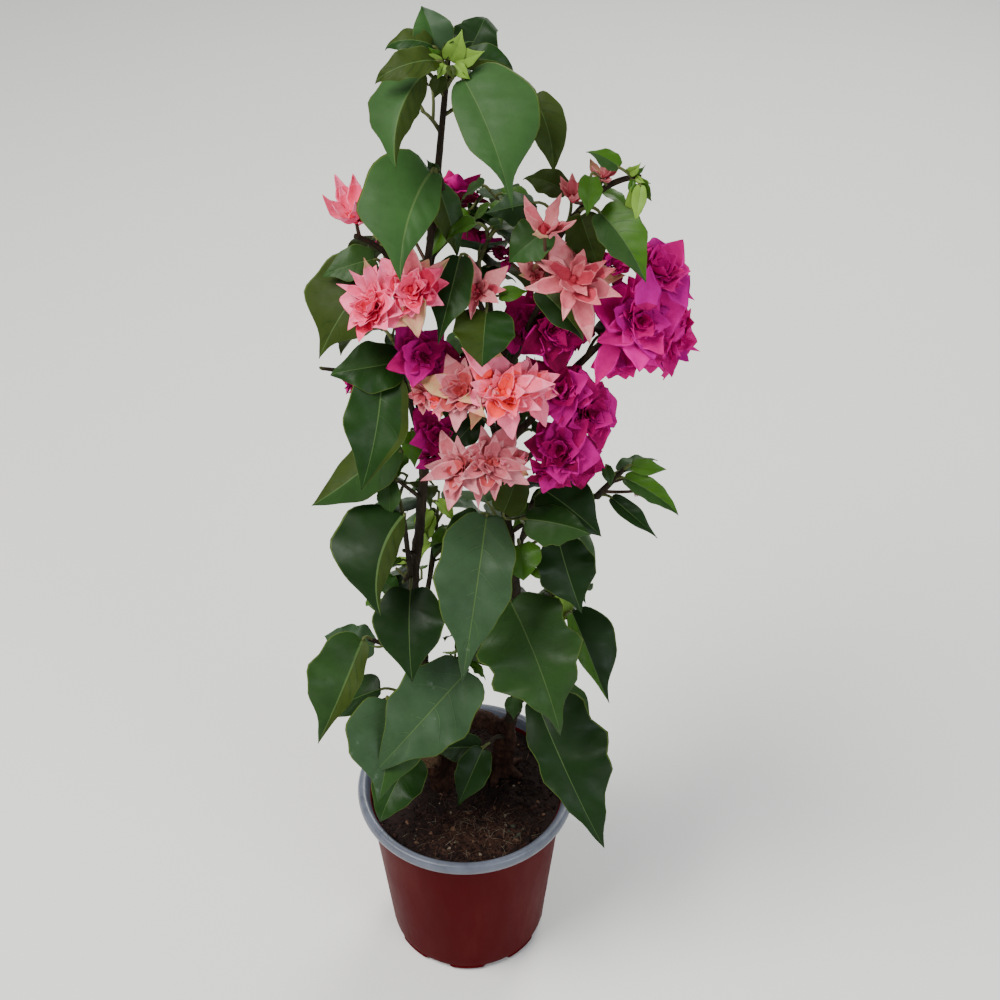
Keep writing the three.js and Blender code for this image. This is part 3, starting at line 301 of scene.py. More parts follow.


# Leaves with a place and habit of their own, by their mass and number. Their half tones paint light and
# shade: lit halves take the pale and fresh tones, halves turned from the light the shaded, deep and olive
# ones
KEY_LEAVES = {
    "crown_top_foliage": {
        0: own((DUSTY, PALE), (-1, 0, -1), (-148, -49, 26, 0.95), fold=26, hook=-30, drip=0.1),
        1: own((OLIVE, DEEP), (2, 0, 6), (-97, 8, 32, 0.5), arch=120, fold=6, hook=10),
        2: own((OLIVE, OLIVE), (6, 0, 1), (-80, 17, 43, 0.42), arch=115, fold=8, hook=20),
        3: own((PALE, OLIVE), (-2, 0, 6), (-23, 44, 58, 0.66), fold=-34, left=1.2, right=0.56, arch=40,
            hook=6, drip=0.3, sway=52, ripple=0.03),
        4: own((PALE, PALE), (-8, 0, -8), (27, 41, 80, 0.6), arch=40, fold=8, drip=0.72, hook=12, sway=-14,
            quilt=0.8, left=0.6, right=1.3, ripple=0.05),
        5: own((SHADED, SHADED), (2, 0, -4), (141, -46, 26, 1.0), drip=-0.35, ripple=0.26, waves=2.4,
            hook=70, wobble=0.1),
        6: own((OLIVE, DEEP), (-2, 0, 1), (92, 12, 31, 0.6), arch=90),
        7: own((OLIVE, OLIVE), (-2, 0, -1), (26, 53, 44, 0.55), sway=-26, drip=0.1),
        8: own((PALE, PALE), (6, 0, -6), (-19, 39, 69, 0.74), arch=42, fold=8, drip=0.5, hook=10,
            left=1.24, right=0.55, sway=30, ripple=0.03, shoulder=0.16, quilt=0.7),
        9: own((OLIVE, MID), (-6, 0, -12), (38, 64, 45, 0.44), drip=0.2),
        "spray 1.0": own((OLIVE, OLIVE), (-4, 4, 10), (-70, 20, 20, 0.5)),
        "spray 1.1": own((OLIVE, OLIVE), bearing=-35, droop=50, length=30),
    },
    "left_shoulder_foliage": {
        0: own((MID, MID)),
        1: own((OLIVE, OLIVE), (2, 0, 1), (-54, 47, 62, 0.76), drip=0.62, hook=0, fold=6, left=1.25),
    },
    "left_middle_foliage": {
        0: own((MID, DEEP), (3, 0, -1), (-76, 2, 48, 0.7), hook=60, ripple=0.16, waves=2.6),
        1: own((DEEP, DEEP), (-3, 0, 2), (-17, 52, 75, 0.54), strip=(9, OLIVE), drip=0.3, sway=-12,
            arch=44, left=1.1),
        2: own((OLIVE, MID), (-3, 0, -3), (-67, 31, 72, 0.5), drip=0.1, sway=-24, fold=-16),
    },
    "left_lower_foliage": {
        0: own((SHADED, OLIVE), (10, 0, -3), (-19, 48, 75, 0.62), left=1.5, right=0.45, fold=-12, sway=64,
            drip=0.45, shoulder=0.02),
        1: own((SHADED, SHADED), (9, 0, 2), (2, 45, 65, 0.78)),
    },
    "left_skirt_foliage": {
        0: own((MID, OLIVE), (5, 0, 1), (-37, 49, 84, 0.5), left=1.4, right=0.5, drip=0.5, ripple=0.16,
            waves=3.0, hook=4, wobble=0.06),
        1: own((DUSTY, DUSTY), (5, 0, -10), (-105, -2, 40, 0.72), ripple=0.24, waves=2.6, wobble=0.1,
            drip=0),
        "spray 1.1": own((DEEP, DEEP), bearing=60, droop=20, length=30),
    },
    "low_left_foliage": {
        0: own((DUSTY, MID), (10, 0, 0), (-7, 46, 75, 0.78), drip=0.5, left=1.1, ripple=0.07),
        1: own((DEEP, DEEP), (1, 0, -14), (-29, 28, 57, 0.74), arch=70, hook=20, drip=0.1),
    },
    "low_centre_foliage": {
        0: own((DUSTY, DUSTY), (1, 0, 0), (-52, 31, 102, 0.6), fold=8, ripple=0.12, waves=3.1, wobble=0.06,
            drip=0.4, curl=0.06, quilt=1.0, right=0.95),
    },
    "foot_foliage": {
        0: own((SHADED, DEEP), (-3, 0, 2), (-37, 49, 51, 0.54)),
        1: own((SHADED, SHADED)),
    },
    "centre_low_foliage": {
        0: own((DUSTY, DUSTY), (5, 0, 2), (-12, 46, 117, 0.45), ripple=0.13, waves=3.3, wobble=0.06,
            drip=0.5, quilt=1.0, fold=10, left=1.1, right=0.9),
    },
    "right_skirt_foliage": {
        0: own((MID, MID), (1, 0, -4), (29, 44, 106, 0.62), ripple=0.24, waves=3.2, wobble=0.13, drip=0.62,
            fold=12, phase=(0.6, 3.4), left=1.1),
    },
    "right_foot_foliage": {
        0: own((SHADED, SHADED), (-6, 0, 3), (35, 43, 126, 0.46), ripple=0.2, waves=3.4, wobble=0.09,
            drip=0.3, quilt=1.2, fold=10, phase=(1.2, 3.9), left=0.62, right=1.3),
    },
    "right_flank_foliage": {
        0: own((FRESH, SHADED), (-1, 0, 2), (35, 50, 72, 0.56), ripple=0.14, drip=0.5, hook=-30, left=0.5,
            right=1.2),
    },
    "right_middle_foliage": {
        0: own((SHADED, SHADED), (-1, 0, 5), (57, 24, 50, 0.82)),
        1: own((MID, DEEP), (-7, -10, 13), (75, 4, 45, 0.66), drip=0.1, fold=-14),
        2: own((SHADED, SHADED), (4, 0, 10), (28, 49, 52, 0.8), drip=0.5, ripple=0.12),
        3: own((FRESH, FRESH), (1, -2, 7), (10, 40, 25, 1.2), drip=0.1),
        4: own((OLIVE, OLIVE), (-1, 0, -5), (146, -54, 36, 0.7)),
    },
    "right_twig_foliage": {
        2: own((MID, FRESH), width=0.38, drip=0.2, fold=30),
        3: own((SHADED, SHADED), (-1, 0, -4), (59, 29, 41, 0.38), fold=34),
        4: own((PALE, PALE), (2, 0, -4), (125, 8, 36, 0.45)),
        0: own((MID, MID)),
    },
    "centre_tip_foliage": {
        0: own((OLIVE, DEEP), (1, 0, -3), (-5, 38, 35, 1.05), drip=0.05, fold=5),
        1: own((SHADED, DEEP), (3, 0, 1), (-26, 55, 54, 0.5)),
    },
    "upper_right_foliage": {
        1: own((FRESH, FRESH), (-3, 0, 1), (-7, 51, 23, 0.66)),
        2: own((MID, FRESH), width=0.6, length=50, drip=0.3, left=0.8, ripple=0.05),
        3: own((OLIVE, OLIVE), (-3, 0, 4), (33, 51, 33, 0.8), drip=0.1),
        5: own((DUSTY, SHADED), (5, 0, 1), (-76, 6, 31, 0.72), fold=-18),
        6: own((MID, PALE), (-4, 0, -7), (-76, 38, 30, 0.95), drip=0.1),
        7: own((OLIVE, OLIVE), (9, 0, 5), (-114, -6, 30, 0.64), arch=70),
        0: own((FRESH, MID), width=0.62, length=21),
        4: own((YOUNG, YOUNG), width=0.42),
        8: own((FRESH, FRESH), (2, 0, -12), length=20, bearing=60),
        "spray 0.1": own((FRESH, FRESH), (0, 0, -14), length=20),
    },
    "star_blossom": {
        0: own((SHADED, OLIVE), (-2, 0, 1), (55, 37, 45, 0.46), arch=80, hook=40),
    },
}

# The tones that a mass deals out to its other leaves. The crown's paler tones paint the light from above, and
# the common deep and shaded tones paint the shade on the lower and inner leaves
MASS_TONES = {
    "crown_top_foliage": (PALE, MID, OLIVE),
    "left_shoulder_foliage": (MID, OLIVE, DEEP),
    "upper_right_foliage": (MID, FRESH, PALE),
    "left_skirt_foliage": (MID, DEEP, FRESH),
    "low_left_foliage": (MID, FRESH, DEEP),
    "back_upper_foliage": (MID, OLIVE, DEEP),
}
COMMON_TONES = (DEEP, MID, SHADED)

# Young leaves in the tip's whorl and the right bud cluster, and small leaves on spurs: the foot, the tip,
# the width as a share of the length, the roll and the tone
SPRIG_LEAVES = [
    [(-1, -6, 750), (7, -8, 768), 0.66, 25, YOUNG],
    [(-3, -6, 750), (-3, -7, 760), 0.5, -10, OLIVE],
    [(-5, -6, 748), (-21, -10, 751), 0.6, -35, YOUNG],
    [(-4, -5, 750), (-12, -6, 757), 0.55, -30, FRESH],
    [(2, -6, 750), (19, -9, 756), 0.6, 35, YOUNG],
    [(3, -7, 748), (11, -12, 741), 0.7, 20, YOUNG],
    [(0, -9, 748), (2, -14, 742), 0.7, 0, OLIVE],
    [(-3, -8, 748), (-7, -13, 742), 0.7, -10, YOUNG],
    [(-6, -6, 741), (-9, -9, 729), 0.8, -10, OLIVE],
    [(-9, 2, 681), (-15, -1, 690), 0.6, -20, DEEP],
    [(98, -10, 686), (105, -14, 694), 0.6, 30, YOUNG],
    [(100, -10, 685), (108, -11, 691), 0.5, 50, FRESH],
    [(103, -11, 684), (108, -15, 682), 0.6, 30, YOUNG],
    [(104, -12, 680), (101, -17, 653), 0.42, -10, YOUNG],
    [(106, -10, 682), (113, -9, 667), 0.4, 30, FRESH],
    [(105, -10, 683), (112, -8, 678), 0.5, 60, YOUNG],
    [(101, -11, 682), (99, -16, 674), 0.5, 0, FRESH],
]

# Spurs and side buds: the root on a limb, the tip, and how thick
SPURS = [
    [(-22, 13, 484), (-37, 4, 481), 0.9],
    [(-27, 12, 435), (-41, 2, 458), 0.8],
    [(-30, 13, 383), (-39, 4, 395), 0.9],
    [(-70, 0, 545), (-83, -6, 552), 0.8],
    [(-33, 12, 372), (-40, 6, 366), 1.1],
    [(-6, 6, 668), (-8, 2, 681), 0.7],
]

# Blooms that the fine plant adds to the solids' own: the stem and the place on it where each one starts,
# its middle, radius, number of bracts, the bearing and rise of its face, and its colour
MORE_BLOOMS = [
    ["right_blossom", 1.0, (92, -8, 624), 13, 9, 20, 40, "magenta"],
    ["right_blossom", 0.85, (95, -14, 560), 17, 9, 10, -50, "magenta"],
    ["right_blossom", 0.95, (133, -10, 583), 15, 8, 70, 5, "magenta"],
    ["star_blossom", 0.55, (51, 4, 582), 21, 14, 10, 20, "magenta"],
    ["star_blossom", 0.5, (70, 2, 577), 17, 12, 40, 10, "magenta"],
    ["star_blossom", 0.5, (38, 4, 576), 15, 11, -30, 15, "magenta"],
    ["middle_blossom", 0.8, (60, -26, 489), 17, 10, -10, -25, "magenta"],
    ["star_blossom", 0.9, (30, 20, 615), 10, 8, -10, 50, "magenta"],
    ["star_blossom", 0.95, (41, 14, 619), 9, 8, 20, 50, "magenta"],
    ["left_inner_blossom", 0.6, (-20, -20, 544), 15, 8, -30, 0, "pink"],
    ["star_blossom", 0.85, (49, -8, 618), 14, 9, 0, 40, "pink"],
    ["centre_blossom", 0.95, (-9, -30, 545), 14, 10, -50, 10, "coral"],
    ["centre_blossom", 0.5, (34, -28, 492), 14, 9, 40, -10, "coral"],
    ["left_inner_blossom", 0.1, (-17, 2, 478), 14, 8, 0, -20, "magenta"],
]

# What differs from the rule for some of the blooms, by their seed
BLOOM_CHANGES = {
    601: dict(radius=11, shape=(0.75, 0.9), inner=4),
    10903: dict(radius=18, shape=(1.0, 0.8), shift=(2, 0, 4)),
    2900: dict(shift=(5, 0, -15), lean=(-25, 72), open=(0.8, 1), count=9, radius=38, shape=(1.2, 0.42),
        inner=2),
    2901: dict(radius=25, shape=(1.1, 0.78)),
    2902: dict(shape=(1.15, 0.78)),
    2903: dict(radius=13),
    3700: dict(muted=True, shape=(1.35, 0.9), inner=5),
    11700: dict(shape=(1.4, 0.48), inner=4, muted=True),
    12700: dict(muted=True),
    12703: dict(muted=True, shape=(1.2, 0.52), inner=9),
    12704: dict(muted=True, shape=(1.2, 0.52), inner=9),
    13100: dict(colour="pink", shift=(1, 0, -9), lean=(-10, 76), open=(0.75, 1), count=7, radius=21,
        shape=(1.25, 0.46), inner=0, muted=True),
    13101: dict(colour="pink", shift=(0, 0, -8), lean=(10, 70), open=(0.75, 1), count=6, radius=19,
        shape=(1.25, 0.5), inner=0, muted=True),
    13300: dict(shift=(-9, 0, -13), lean=(-15, 74), open=(0.72, 1), count=6, radius=32, shape=(1.2, 0.44),
        inner=0, muted=True),
    13301: dict(shape=(1.42, 0.44), inner=4, muted=True),
    13302: dict(colour="magenta", radius=18),
    13700: dict(shift=(20, -6, -32)),
}

# The long outer bracts that give the blooms their outline: colour, muted, foot, tip and width
LONG_BRACTS = [
    ["magenta", False, (96, -28, 590), (84, -30, 555), 0.4],
    ["magenta", True, (105, -26, 588), (125, -32, 574), 0.44],
    ["magenta", False, (119, -18, 586), (148, -18, 572), 0.26],
    ["magenta", False, (121, -18, 625), (141, -20, 609), 0.36],
    ["magenta", False, (111, -33, 610), (111, -37, 643), 0.6],
    ["pink", False, (-47, -26, 613), (-68, -26, 624), 0.34],
    ["pink", False, (-47, -24, 616), (-60, -26, 633), 0.34],
    ["pink", False, (-45, -24, 618), (-51, -26, 641), 0.32],
    ["pink", False, (-40, -24, 616), (-42, -26, 638), 0.36],
    ["pink", True, (-23, -22, 622), (-25, -22, 650), 0.5],
    ["pink", True, (-19, -24, 622), (-2, -24, 640), 0.38],
    ["coral", False, (32, -42, 564), (60, -42, 565), 0.36],
    ["coral", False, (21, -40, 568), (4, -38, 588), 0.42],
    ["coral", False, (14, -40, 554), (9, -46, 534), 0.38],
    ["coral", True, (4, -34, 500), (-24, -36, 487), 0.34],
    ["coral", True, (22, -34, 502), (47, -36, 496), 0.34],
    ["coral", True, (13, -36, 492), (13, -42, 468), 0.34],
]

# The masses whose bracts have the duller tones of shade
MUTED_MASSES = ("star_blossom", "upper_right_foliage", "middle_blossom", "left_inner_blossom",
    "left_middle_foliage", "right_twig_foliage", "back_upper_foliage", "back_middle_foliage")

# Only these masses carry their side twigs on to finer ones, as the open ones show their leaves singly
FINE_MASSES = ("left_middle_foliage", "left_lower_foliage", "low_centre_foliage", "right_flank_foliage",
    "right_middle_foliage", "centre_tip_foliage", "back_upper_foliage", "back_middle_foliage",
    "back_low_foliage")


def dice(seed):
    """Seeded numbers from 0 to 1, the same on every run and the same as the solids' own."""
    mask = 0xFFFFFFFF
    state = seed & mask
    while True:
        state = (state + 0x6D2B79F5) & mask
        mixed = ((state ^ (state >> 15)) * (state | 1)) & mask
        mixed ^= (mixed + (mixed ^ (mixed >> 7)) * (mixed | 61)) & mask
        yield ((mixed ^ (mixed >> 14)) & mask) / 4294967296


def unit(vector):
    return vector / np.linalg.norm(vector)


def heading(bearing, rise):
    """The unit vector at a bearing from the front and a rise above level."""
    turn = math.radians(bearing)
    flat = math.cos(math.radians(rise))
    return np.array([math.sin(turn) * flat, -math.cos(turn) * flat, math.sin(math.radians(rise))])


CURVE_POINTS = 201
HALVINGS = 30


class Curve:
    """A curve given by its point function, which takes an array of shares from 0 to 1."""

    def __init__(self, at):
        self.at = at
        self.shares = np.linspace(0, 1, CURVE_POINTS)
        steps = np.linalg.norm(np.diff(at(self.shares), axis=0), axis=1)
        self.lengths = np.concatenate([[0], np.cumsum(steps)])

    def even(self, shares):
        """The shares that lie at even lengths along the curve."""
        return np.interp(np.asarray(shares) * self.lengths[-1], self.lengths, self.shares)

    def tangent(self, shares):
        low = np.maximum(shares - 1e-4, 0)
        high = np.minimum(shares + 1e-4, 1)
        run = self.at(high) - self.at(low)
        return run / np.linalg.norm(run, axis=1, keepdims=True)

    def point(self, share):
        return self.at(np.array([float(share)]))[0]


def smooth_curve(path):
    """A smooth curve through points, as the solids' limbs have."""
    nodes = np.array(path, float)
    padded = np.vstack([2 * nodes[0] - nodes[1], nodes, 2 * nodes[-1] - nodes[-2]])

    def at(shares):
        spot = shares * (len(nodes) - 1)
        first = np.minimum(spot.astype(int), len(nodes) - 2)
        share = (spot - first)[:, None]
        before, start, end, after = (padded[first + i] for i in range(4))
        leave = (end - before) / 2
        arrive = (after - start) / 2
        square = 3 * (end - start) - 2 * leave - arrive
        cube = 2 * (start - end) + leave + arrive
        return start + leave * share + square * share**2 + cube * share**3

    return Curve(at)


def bent_curve(start, middle, end):
    """A curve that leaves its start towards a middle point and comes to its end from there."""
    def at(shares):
        t = shares[:, None]
        return (1 - t) ** 2 * start + 2 * t * (1 - t) * middle + t**2 * end

    return Curve(at)


def twig_curve(start, reach, lift):
    """A twig's curve: from a point by a reach, its middle lifted."""
    return bent_curve(start, start + 0.5 * reach + 2 * lift * UP, start + reach)


def ring_axes(curve, shares):
    """The tangent and two cross axes at each share, turned along the curve without twist."""
    tangents = curve.tangent(shares)
    least = 2 - int(np.argmin(np.abs(tangents[0])[::-1]))
    across = unit(np.cross(tangents[0], np.eye(3)[least]))
    normals = [np.cross(tangents[0], across)]
    for before, after in zip(tangents[:-1], tangents[1:]):
        axis = np.cross(before, after)
        size = np.linalg.norm(axis)
        normal = normals[-1]
        if size > 1e-12:
            axis = axis / size
            turn = math.acos(max(-1.0, min(1.0, float(before @ after))))
            swung = normal * math.cos(turn) + np.cross(axis, normal) * math.sin(turn)
            normal = swung + axis * (axis @ normal) * (1 - math.cos(turn))
        normals.append(normal)
    normals = np.array(normals)
    return tangents, normals, np.cross(tangents, normals)


@functools.cache
def tube_faces(rings, sides):
    """Four-sided faces of a tube, and its two end faces."""
    last = (rings - 1) * sides
    pairs = [(side, (side + 1) % sides) for side in range(sides)]
    faces = [(low + side, low + after, low + sides + after, low + sides + side)
        for low in range(0, last, sides) for side, after in pairs]
    return faces, [tuple(range(sides))[::-1], tuple(range(last, last + sides))]


def tube_points(curve, radius, sides, steps, grow=0.0, relief=None):
    """Rings of points of a tapering tube. relief gives each point's own share to add to the radius."""
    shares = curve.even(np.linspace(0, 1, steps + 1))
    tangents, normals, binormals = ring_axes(curve, shares)
    centres = curve.at(shares)
    centres[0] -= grow * tangents[0]
    centres[-1] += grow * tangents[-1]
    foot, tip = radius
    size = foot + (tip - foot) * np.linspace(0, 1, steps + 1) + grow / math.cos(math.pi / sides)
    size = np.repeat(size[:, None], sides, axis=1)
    angles = 2 * math.pi * np.arange(sides) / sides
    if relief is not None:
        size = size * (1 + relief(angles, shares, centres))
    sines, cosines = np.sin(angles)[None, :, None], np.cos(angles)[None, :, None]
    ring = sines * normals[:, None] - cosines * binormals[:, None]
    return (centres[:, None] + size[..., None] * ring).reshape(-1, 3)


def plain_tube(curve, radius, sides, steps, grow=0.0):
    """The coarse tube that the solids have."""
    faces, ends = tube_faces(steps + 1, sides)
    return tube_points(curve, radius, sides, steps, grow), faces + ends


def taper(t, near, far):
    """How wide a blade is at a share t of its length, with 1 at its widest."""
    widest = near / (near + far)
    return (t / widest) ** near * ((1 - t) / (1 - widest)) ** far


class BladeFrame:
    """Where a blade starts, the way it runs, and the way its face looks, rolled about the run."""

    def __init__(self, base, along, face, roll):
        flat = unit(face - along * (face @ along))
        turn = math.radians(roll)
        self.base = base
        self.along = along
        self.normal = flat * math.cos(turn) + np.cross(along, flat) * math.sin(turn)
        self.side = np.cross(self.normal, along)


def plain_blade(axes, length, width, form, grow):
    """The coarse blade that the solids have: rings of two margins and two ridges between two tips."""
    tapers, rows, arch, fold, thickness = form
    arch = math.radians(arch)
    fold = math.radians(fold)
    ridge = length * thickness / 2 + grow
    points = []
    for row, t in enumerate(rows):
        turn = arch * (t - 0.5)
        forward = length * (math.sin(turn) + math.sin(arch / 2)) / arch
        upward = length * (math.cos(turn) - math.cos(arch / 2)) / arch
        middle = axes.base + axes.along * forward + axes.normal * upward
        if row in (0, len(rows) - 1):
            points.append(middle)
            continue
        half = length * width / 2 * taper(t, *tapers) + grow
        normal = axes.normal * math.cos(turn) + axes.along * math.sin(turn)
        out = axes.side * half * math.cos(fold)
        lift = normal * half * math.sin(fold)
        points += [middle - out + lift, middle + normal * ridge, middle + out + lift, middle - normal * ridge]
    count = len(rows) - 2
    faces = []
    for side in range(4):
        after = (side + 1) % 4
        faces.append((0, 1 + side, 1 + after))
        for ring in range(count - 1):
            low = 1 + 4 * ring
            faces.append((low + side, low + 4 + side, low + 4 + after, low + after))
        low = 1 + 4 * (count - 1)
        faces.append((low + side, low + 4, low + after))
    return np.array(points), faces


class Room:
    """Everything that stands so far, so that what comes later can keep clear of it."""

    def __init__(self):
        self.low = np.zeros((0, 3))
        self.high = np.zeros((0, 3))
        self.owners = []
        self.trees = []

    def stand(self, owner, kind, points, faces):
        """Takes in a form with its mass or limb and its kind."""
        self.low = np.vstack([self.low, points.min(0)])
        self.high = np.vstack([self.high, points.max(0)])
        self.owners.append((owner, kind))
        self.trees.append(BVHTree.FromPolygons(points.tolist(), faces))

    def touches(self, points, faces, owner, own_kinds_allowed):
        """Whether a form touches one that stands, apart from the allowed kinds of its own mass."""
        near = np.all(self.low <= points.max(0), axis=1) & np.all(self.high >= points.min(0), axis=1)
        tree = None
        for i in np.flatnonzero(near):
            whose, kind = self.owners[i]
            if whose == owner and kind in own_kinds_allowed:
                continue
            tree = tree or BVHTree.FromPolygons(points.tolist(), faces)
            if tree.overlap(self.trees[i]):
                return True
        return False


def leaves_space(points, space):
    """Whether any point lies outside a mass's box."""
    return bool(np.any(points.min(0) < space[0]) or np.any(points.max(0) > space[1]))


def point_at_height(curve, height):
    """The point of a limb's middle line at a height, found by halving."""
    low, high = 0.0, 1.0
    for _ in range(HALVINGS):
        middle = (low + high) / 2
        if curve.point(middle)[2] < height:
            low = middle
        else:
            high = middle
    return curve.point(high)


class Bush:
    """The whole plant, grown once by the rule of the solids: limbs, stems, twigs, leaves and blooms."""

    def __init__(self):
        self.room = Room()
        self.limbs = {name: smooth_curve(limb.path) for name, limb in LIMBS.items()}
        for name in ("pot", "soil", "woody_base", *LIMBS):
            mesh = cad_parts[name].data
            points = np.array([v.co[:] for v in mesh.vertices]) / MM
            self.room.stand(name, "limb", points, [tuple(p.vertices) for p in mesh.polygons])
        self.stems = {}
        self.twigs = []
        self.fine_twigs = []
        self.leaves = []
        self.blooms = []
        for mass in MASSES:
            self.start_stem(mass)
        for mass in MASSES:
            for i, (place, bearing, stalk, rise, *shape) in enumerate(mass.leaves):
                leaf = dict(zip(("bearing", "droop", "length", "width", "roll"), shape), number=i)
                self.add_leaf(mass, self.stems[mass.name], place, (bearing, rise, stalk), leaf)
        for mass in MASSES:
            for i, bloom in enumerate(mass.blooms):
                self.add_bloom(mass, bloom, mass.seed * 100 + i)
        for mass in MASSES:
            if mass.sprays:
                self.add_sprays(mass, *mass.sprays)

    def start_stem(self, mass):
        """A mass's own stem comes before any leaf, so that all leaves keep clear of it."""
        reach = np.array(mass.reach, float)
        if mass.limb in LIMBS:
            start = point_at_height(self.limbs[mass.limb], mass.start)
            if mass.start >= LIMBS[mass.limb].path[-1][2]:
                start = start + unit(reach) * GAP
        else:
            start = np.array(mass.start, float)
        curve = twig_curve(start, reach, mass.lift)
        self.stems[mass.name] = curve
        steps = 6 if mass.lift > 5 else 3
        self.room.stand(mass.name, "stem", *plain_tube(curve, STEM_RADIUS, 5, steps))

    def add_leaf(self, mass, stem, place, stalk_way, leaf):
        """A leaf on its stalk. Without room it turns a little, and is left out where that doesn't help."""
        bearing, rise, stalk = stalk_way
        root = stem.point(max(0, place - STALK_SET_BACK))
        base = stem.point(place) + heading(bearing, rise) * stalk
        name = mass.name
        for turn, dip in NUDGES:
            along = heading(leaf["bearing"] + turn, -(leaf["droop"] + dip))
            axes = BladeFrame(base, along, UP, leaf["roll"])
            stalk_curve = bent_curve(root, base - 0.4 * stalk * along, base)
            tested = plain_blade(axes, leaf["length"], leaf["width"], LEAF_FORM, GAP)
            if leaves_space(tested[0], mass.space) or self.room.touches(*tested, name, ("stalk",)):
                continue
            if self.room.touches(*plain_tube(stalk_curve, STALK_RADIUS, 3, 2, GAP), name, OWN_KINDS):
                continue
            self.room.stand(name, "blade", *plain_blade(axes, leaf["length"], leaf["width"], LEAF_FORM, 0))
            self.room.stand(name, "stalk", *plain_tube(stalk_curve, STALK_RADIUS, 3, 2))
            self.leaves.append({**leaf, "mass": name, "axes": axes, "root": root, "stalk": stalk})
            return

    def add_bloom(self, mass, bloom, seed):
        """A bloom where its stalk has room, with the bracts that find room round its centre."""
        place, bearing, stalk, rise, radius, count, *facing = bloom
        curve = self.stems[mass.name]
        root = curve.point(max(0, place - STALK_SET_BACK))
        centre = curve.point(place) + heading(bearing, rise) * stalk
        stem = twig_curve(root, centre - root, 0)
        if self.room.touches(*plain_tube(stem, STALK_RADIUS, 3, 1, GAP), mass.name, OWN_KINDS):
            return
        self.room.stand(mass.name, "stalk", *plain_tube(stem, STALK_RADIUS, 3, 1))
        where = (mass.name, mass.colour, root, centre, facing)
        for bract in self.open_bloom(where, radius, count, seed, mass.space):
            if bract["outer"]:
                blade = plain_blade(bract["axes"], bract["length"], BRACT_WIDTH, BRACT_FORM, 0)
                self.room.stand(mass.name, "bract", *blade)

    def open_bloom(self, where, radius, count, seed, space=None):
        """A bloom's bracts, the first spread wide, the last nearly closed. In a space each one needs room."""
        name, colour, root, centre, (bearing, rise) = where
        face = heading(bearing, rise)
        roll = dice(seed)
        bracts = []
        for i in range(count):
            share = (i + 0.5) / count
            length, axes = bract_axes(centre, face, bearing, share, i, radius, roll)
            if space:
                tested = plain_blade(axes, length, BRACT_WIDTH, BRACT_FORM, GAP)
                if leaves_space(tested[0], space) or self.room.touches(*tested, name, ("stalk", "twig")):
                    continue
            bracts.append({"axes": axes, "length": length, "share": share, "outer": i < OUTER_BRACTS})
        self.blooms.append({
            "mass": name, "colour": colour, "root": root, "centre": centre, "face": face, "bearing": bearing,
            "radius": radius, "bracts": bracts, "seed": seed,
        })
        return bracts

    def add_sprays(self, mass, count, leaves, twig_reach, middle, swing, lengths):
        """Side twigs with leaves, placed by the seeded rule."""
        curve = self.stems[mass.name]
        for i in range(count):
            roll = dice(mass.seed * 1000 + i)
            place = 0.15 + 0.8 * (i + next(roll)) / count
            bearing = middle + swing * (2 * ((i * 0.618 + next(roll) * 0.3) % 1) - 1)
            rise = 12 + 34 * next(roll)
            reach = heading(bearing, rise) * twig_reach * (0.75 + 0.5 * next(roll))
            twig = twig_curve(curve.point(place), reach, 2)
            tested = plain_tube(twig, TWIG_RADIUS, 3, 2, GAP)
            if self.room.touches(*tested, mass.name, ("stem", "stalk", "twig")):
                continue
            self.room.stand(mass.name, "twig", *plain_tube(twig, TWIG_RADIUS, 3, 2))
            self.twigs.append((mass, twig))
            for j in range(leaves):
                along = (j + 1) / leaves
                sway = (1 if j % 2 else -1) * 55 * (1 - 0.6 * along) + 30 * (next(roll) - 0.5)
                leaf = {
                    "bearing": bearing + sway,
                    "length": lengths[0] + (lengths[1] - lengths[0]) * next(roll),
                    "droop": 22 + 34 * next(roll),
                    "width": 0.58 + 0.12 * next(roll),
                    "roll": 30 * (next(roll) - 0.5),
                    "number": f"spray {i}.{j}",
                }
                stalk_way = (bearing + sway, 28, 8 + 5 * next(roll))
                self.add_leaf(mass, twig, 0.96 * along, stalk_way, leaf)


def bract_axes(centre, face, face_bearing, share, i, radius, roll):
    """A bract's length and axes by the bloom's rule, from its share of the way to the bloom's middle."""
    across = heading(face_bearing + 90, 0)
    up = np.cross(face, across)
    spread = math.radians(18 + 84 * (1 - share) ** 0.8 + 12 * (next(roll) - 0.5))
    turn = math.radians(GOLDEN_ANGLE * i + 20 * (next(roll) - 0.5))
    length = radius * (0.62 + 0.38 * (1 - share)) * (0.9 + 0.2 * next(roll))
    outward = across * math.cos(turn) + up * math.sin(turn)
    along = face * math.cos(spread) + outward * math.sin(spread)
    return length - BRACT_ROOT, BladeFrame(centre + along * BRACT_ROOT, along, face, 0)


def refined(leaf):
    """A leaf with the place and habit of its own that it has in the table, if it is there."""
    change = KEY_LEAVES.get(leaf["mass"], {}).get(leaf.get("number"))
    if not change:
        return leaf
    leaf = {**leaf, **change}
    base = leaf["axes"].base + np.array(leaf["shift"])
    return {**leaf, "axes": BladeFrame(base, heading(leaf["bearing"], -leaf["droop"]), UP, leaf["roll"])}


def sprig_leaf(foot, tip, width, roll, tone):
    """A small leaf from its foot to its tip."""
    foot, tip = np.array(foot, float), np.array(tip, float)
    axes = BladeFrame(foot, unit(tip - foot), heading(0, 40), roll)
    length = np.linalg.norm(tip - foot)
    return {"mass": "sprig", "length": length, "width": width, "axes": axes, "tones": (tone, tone)}


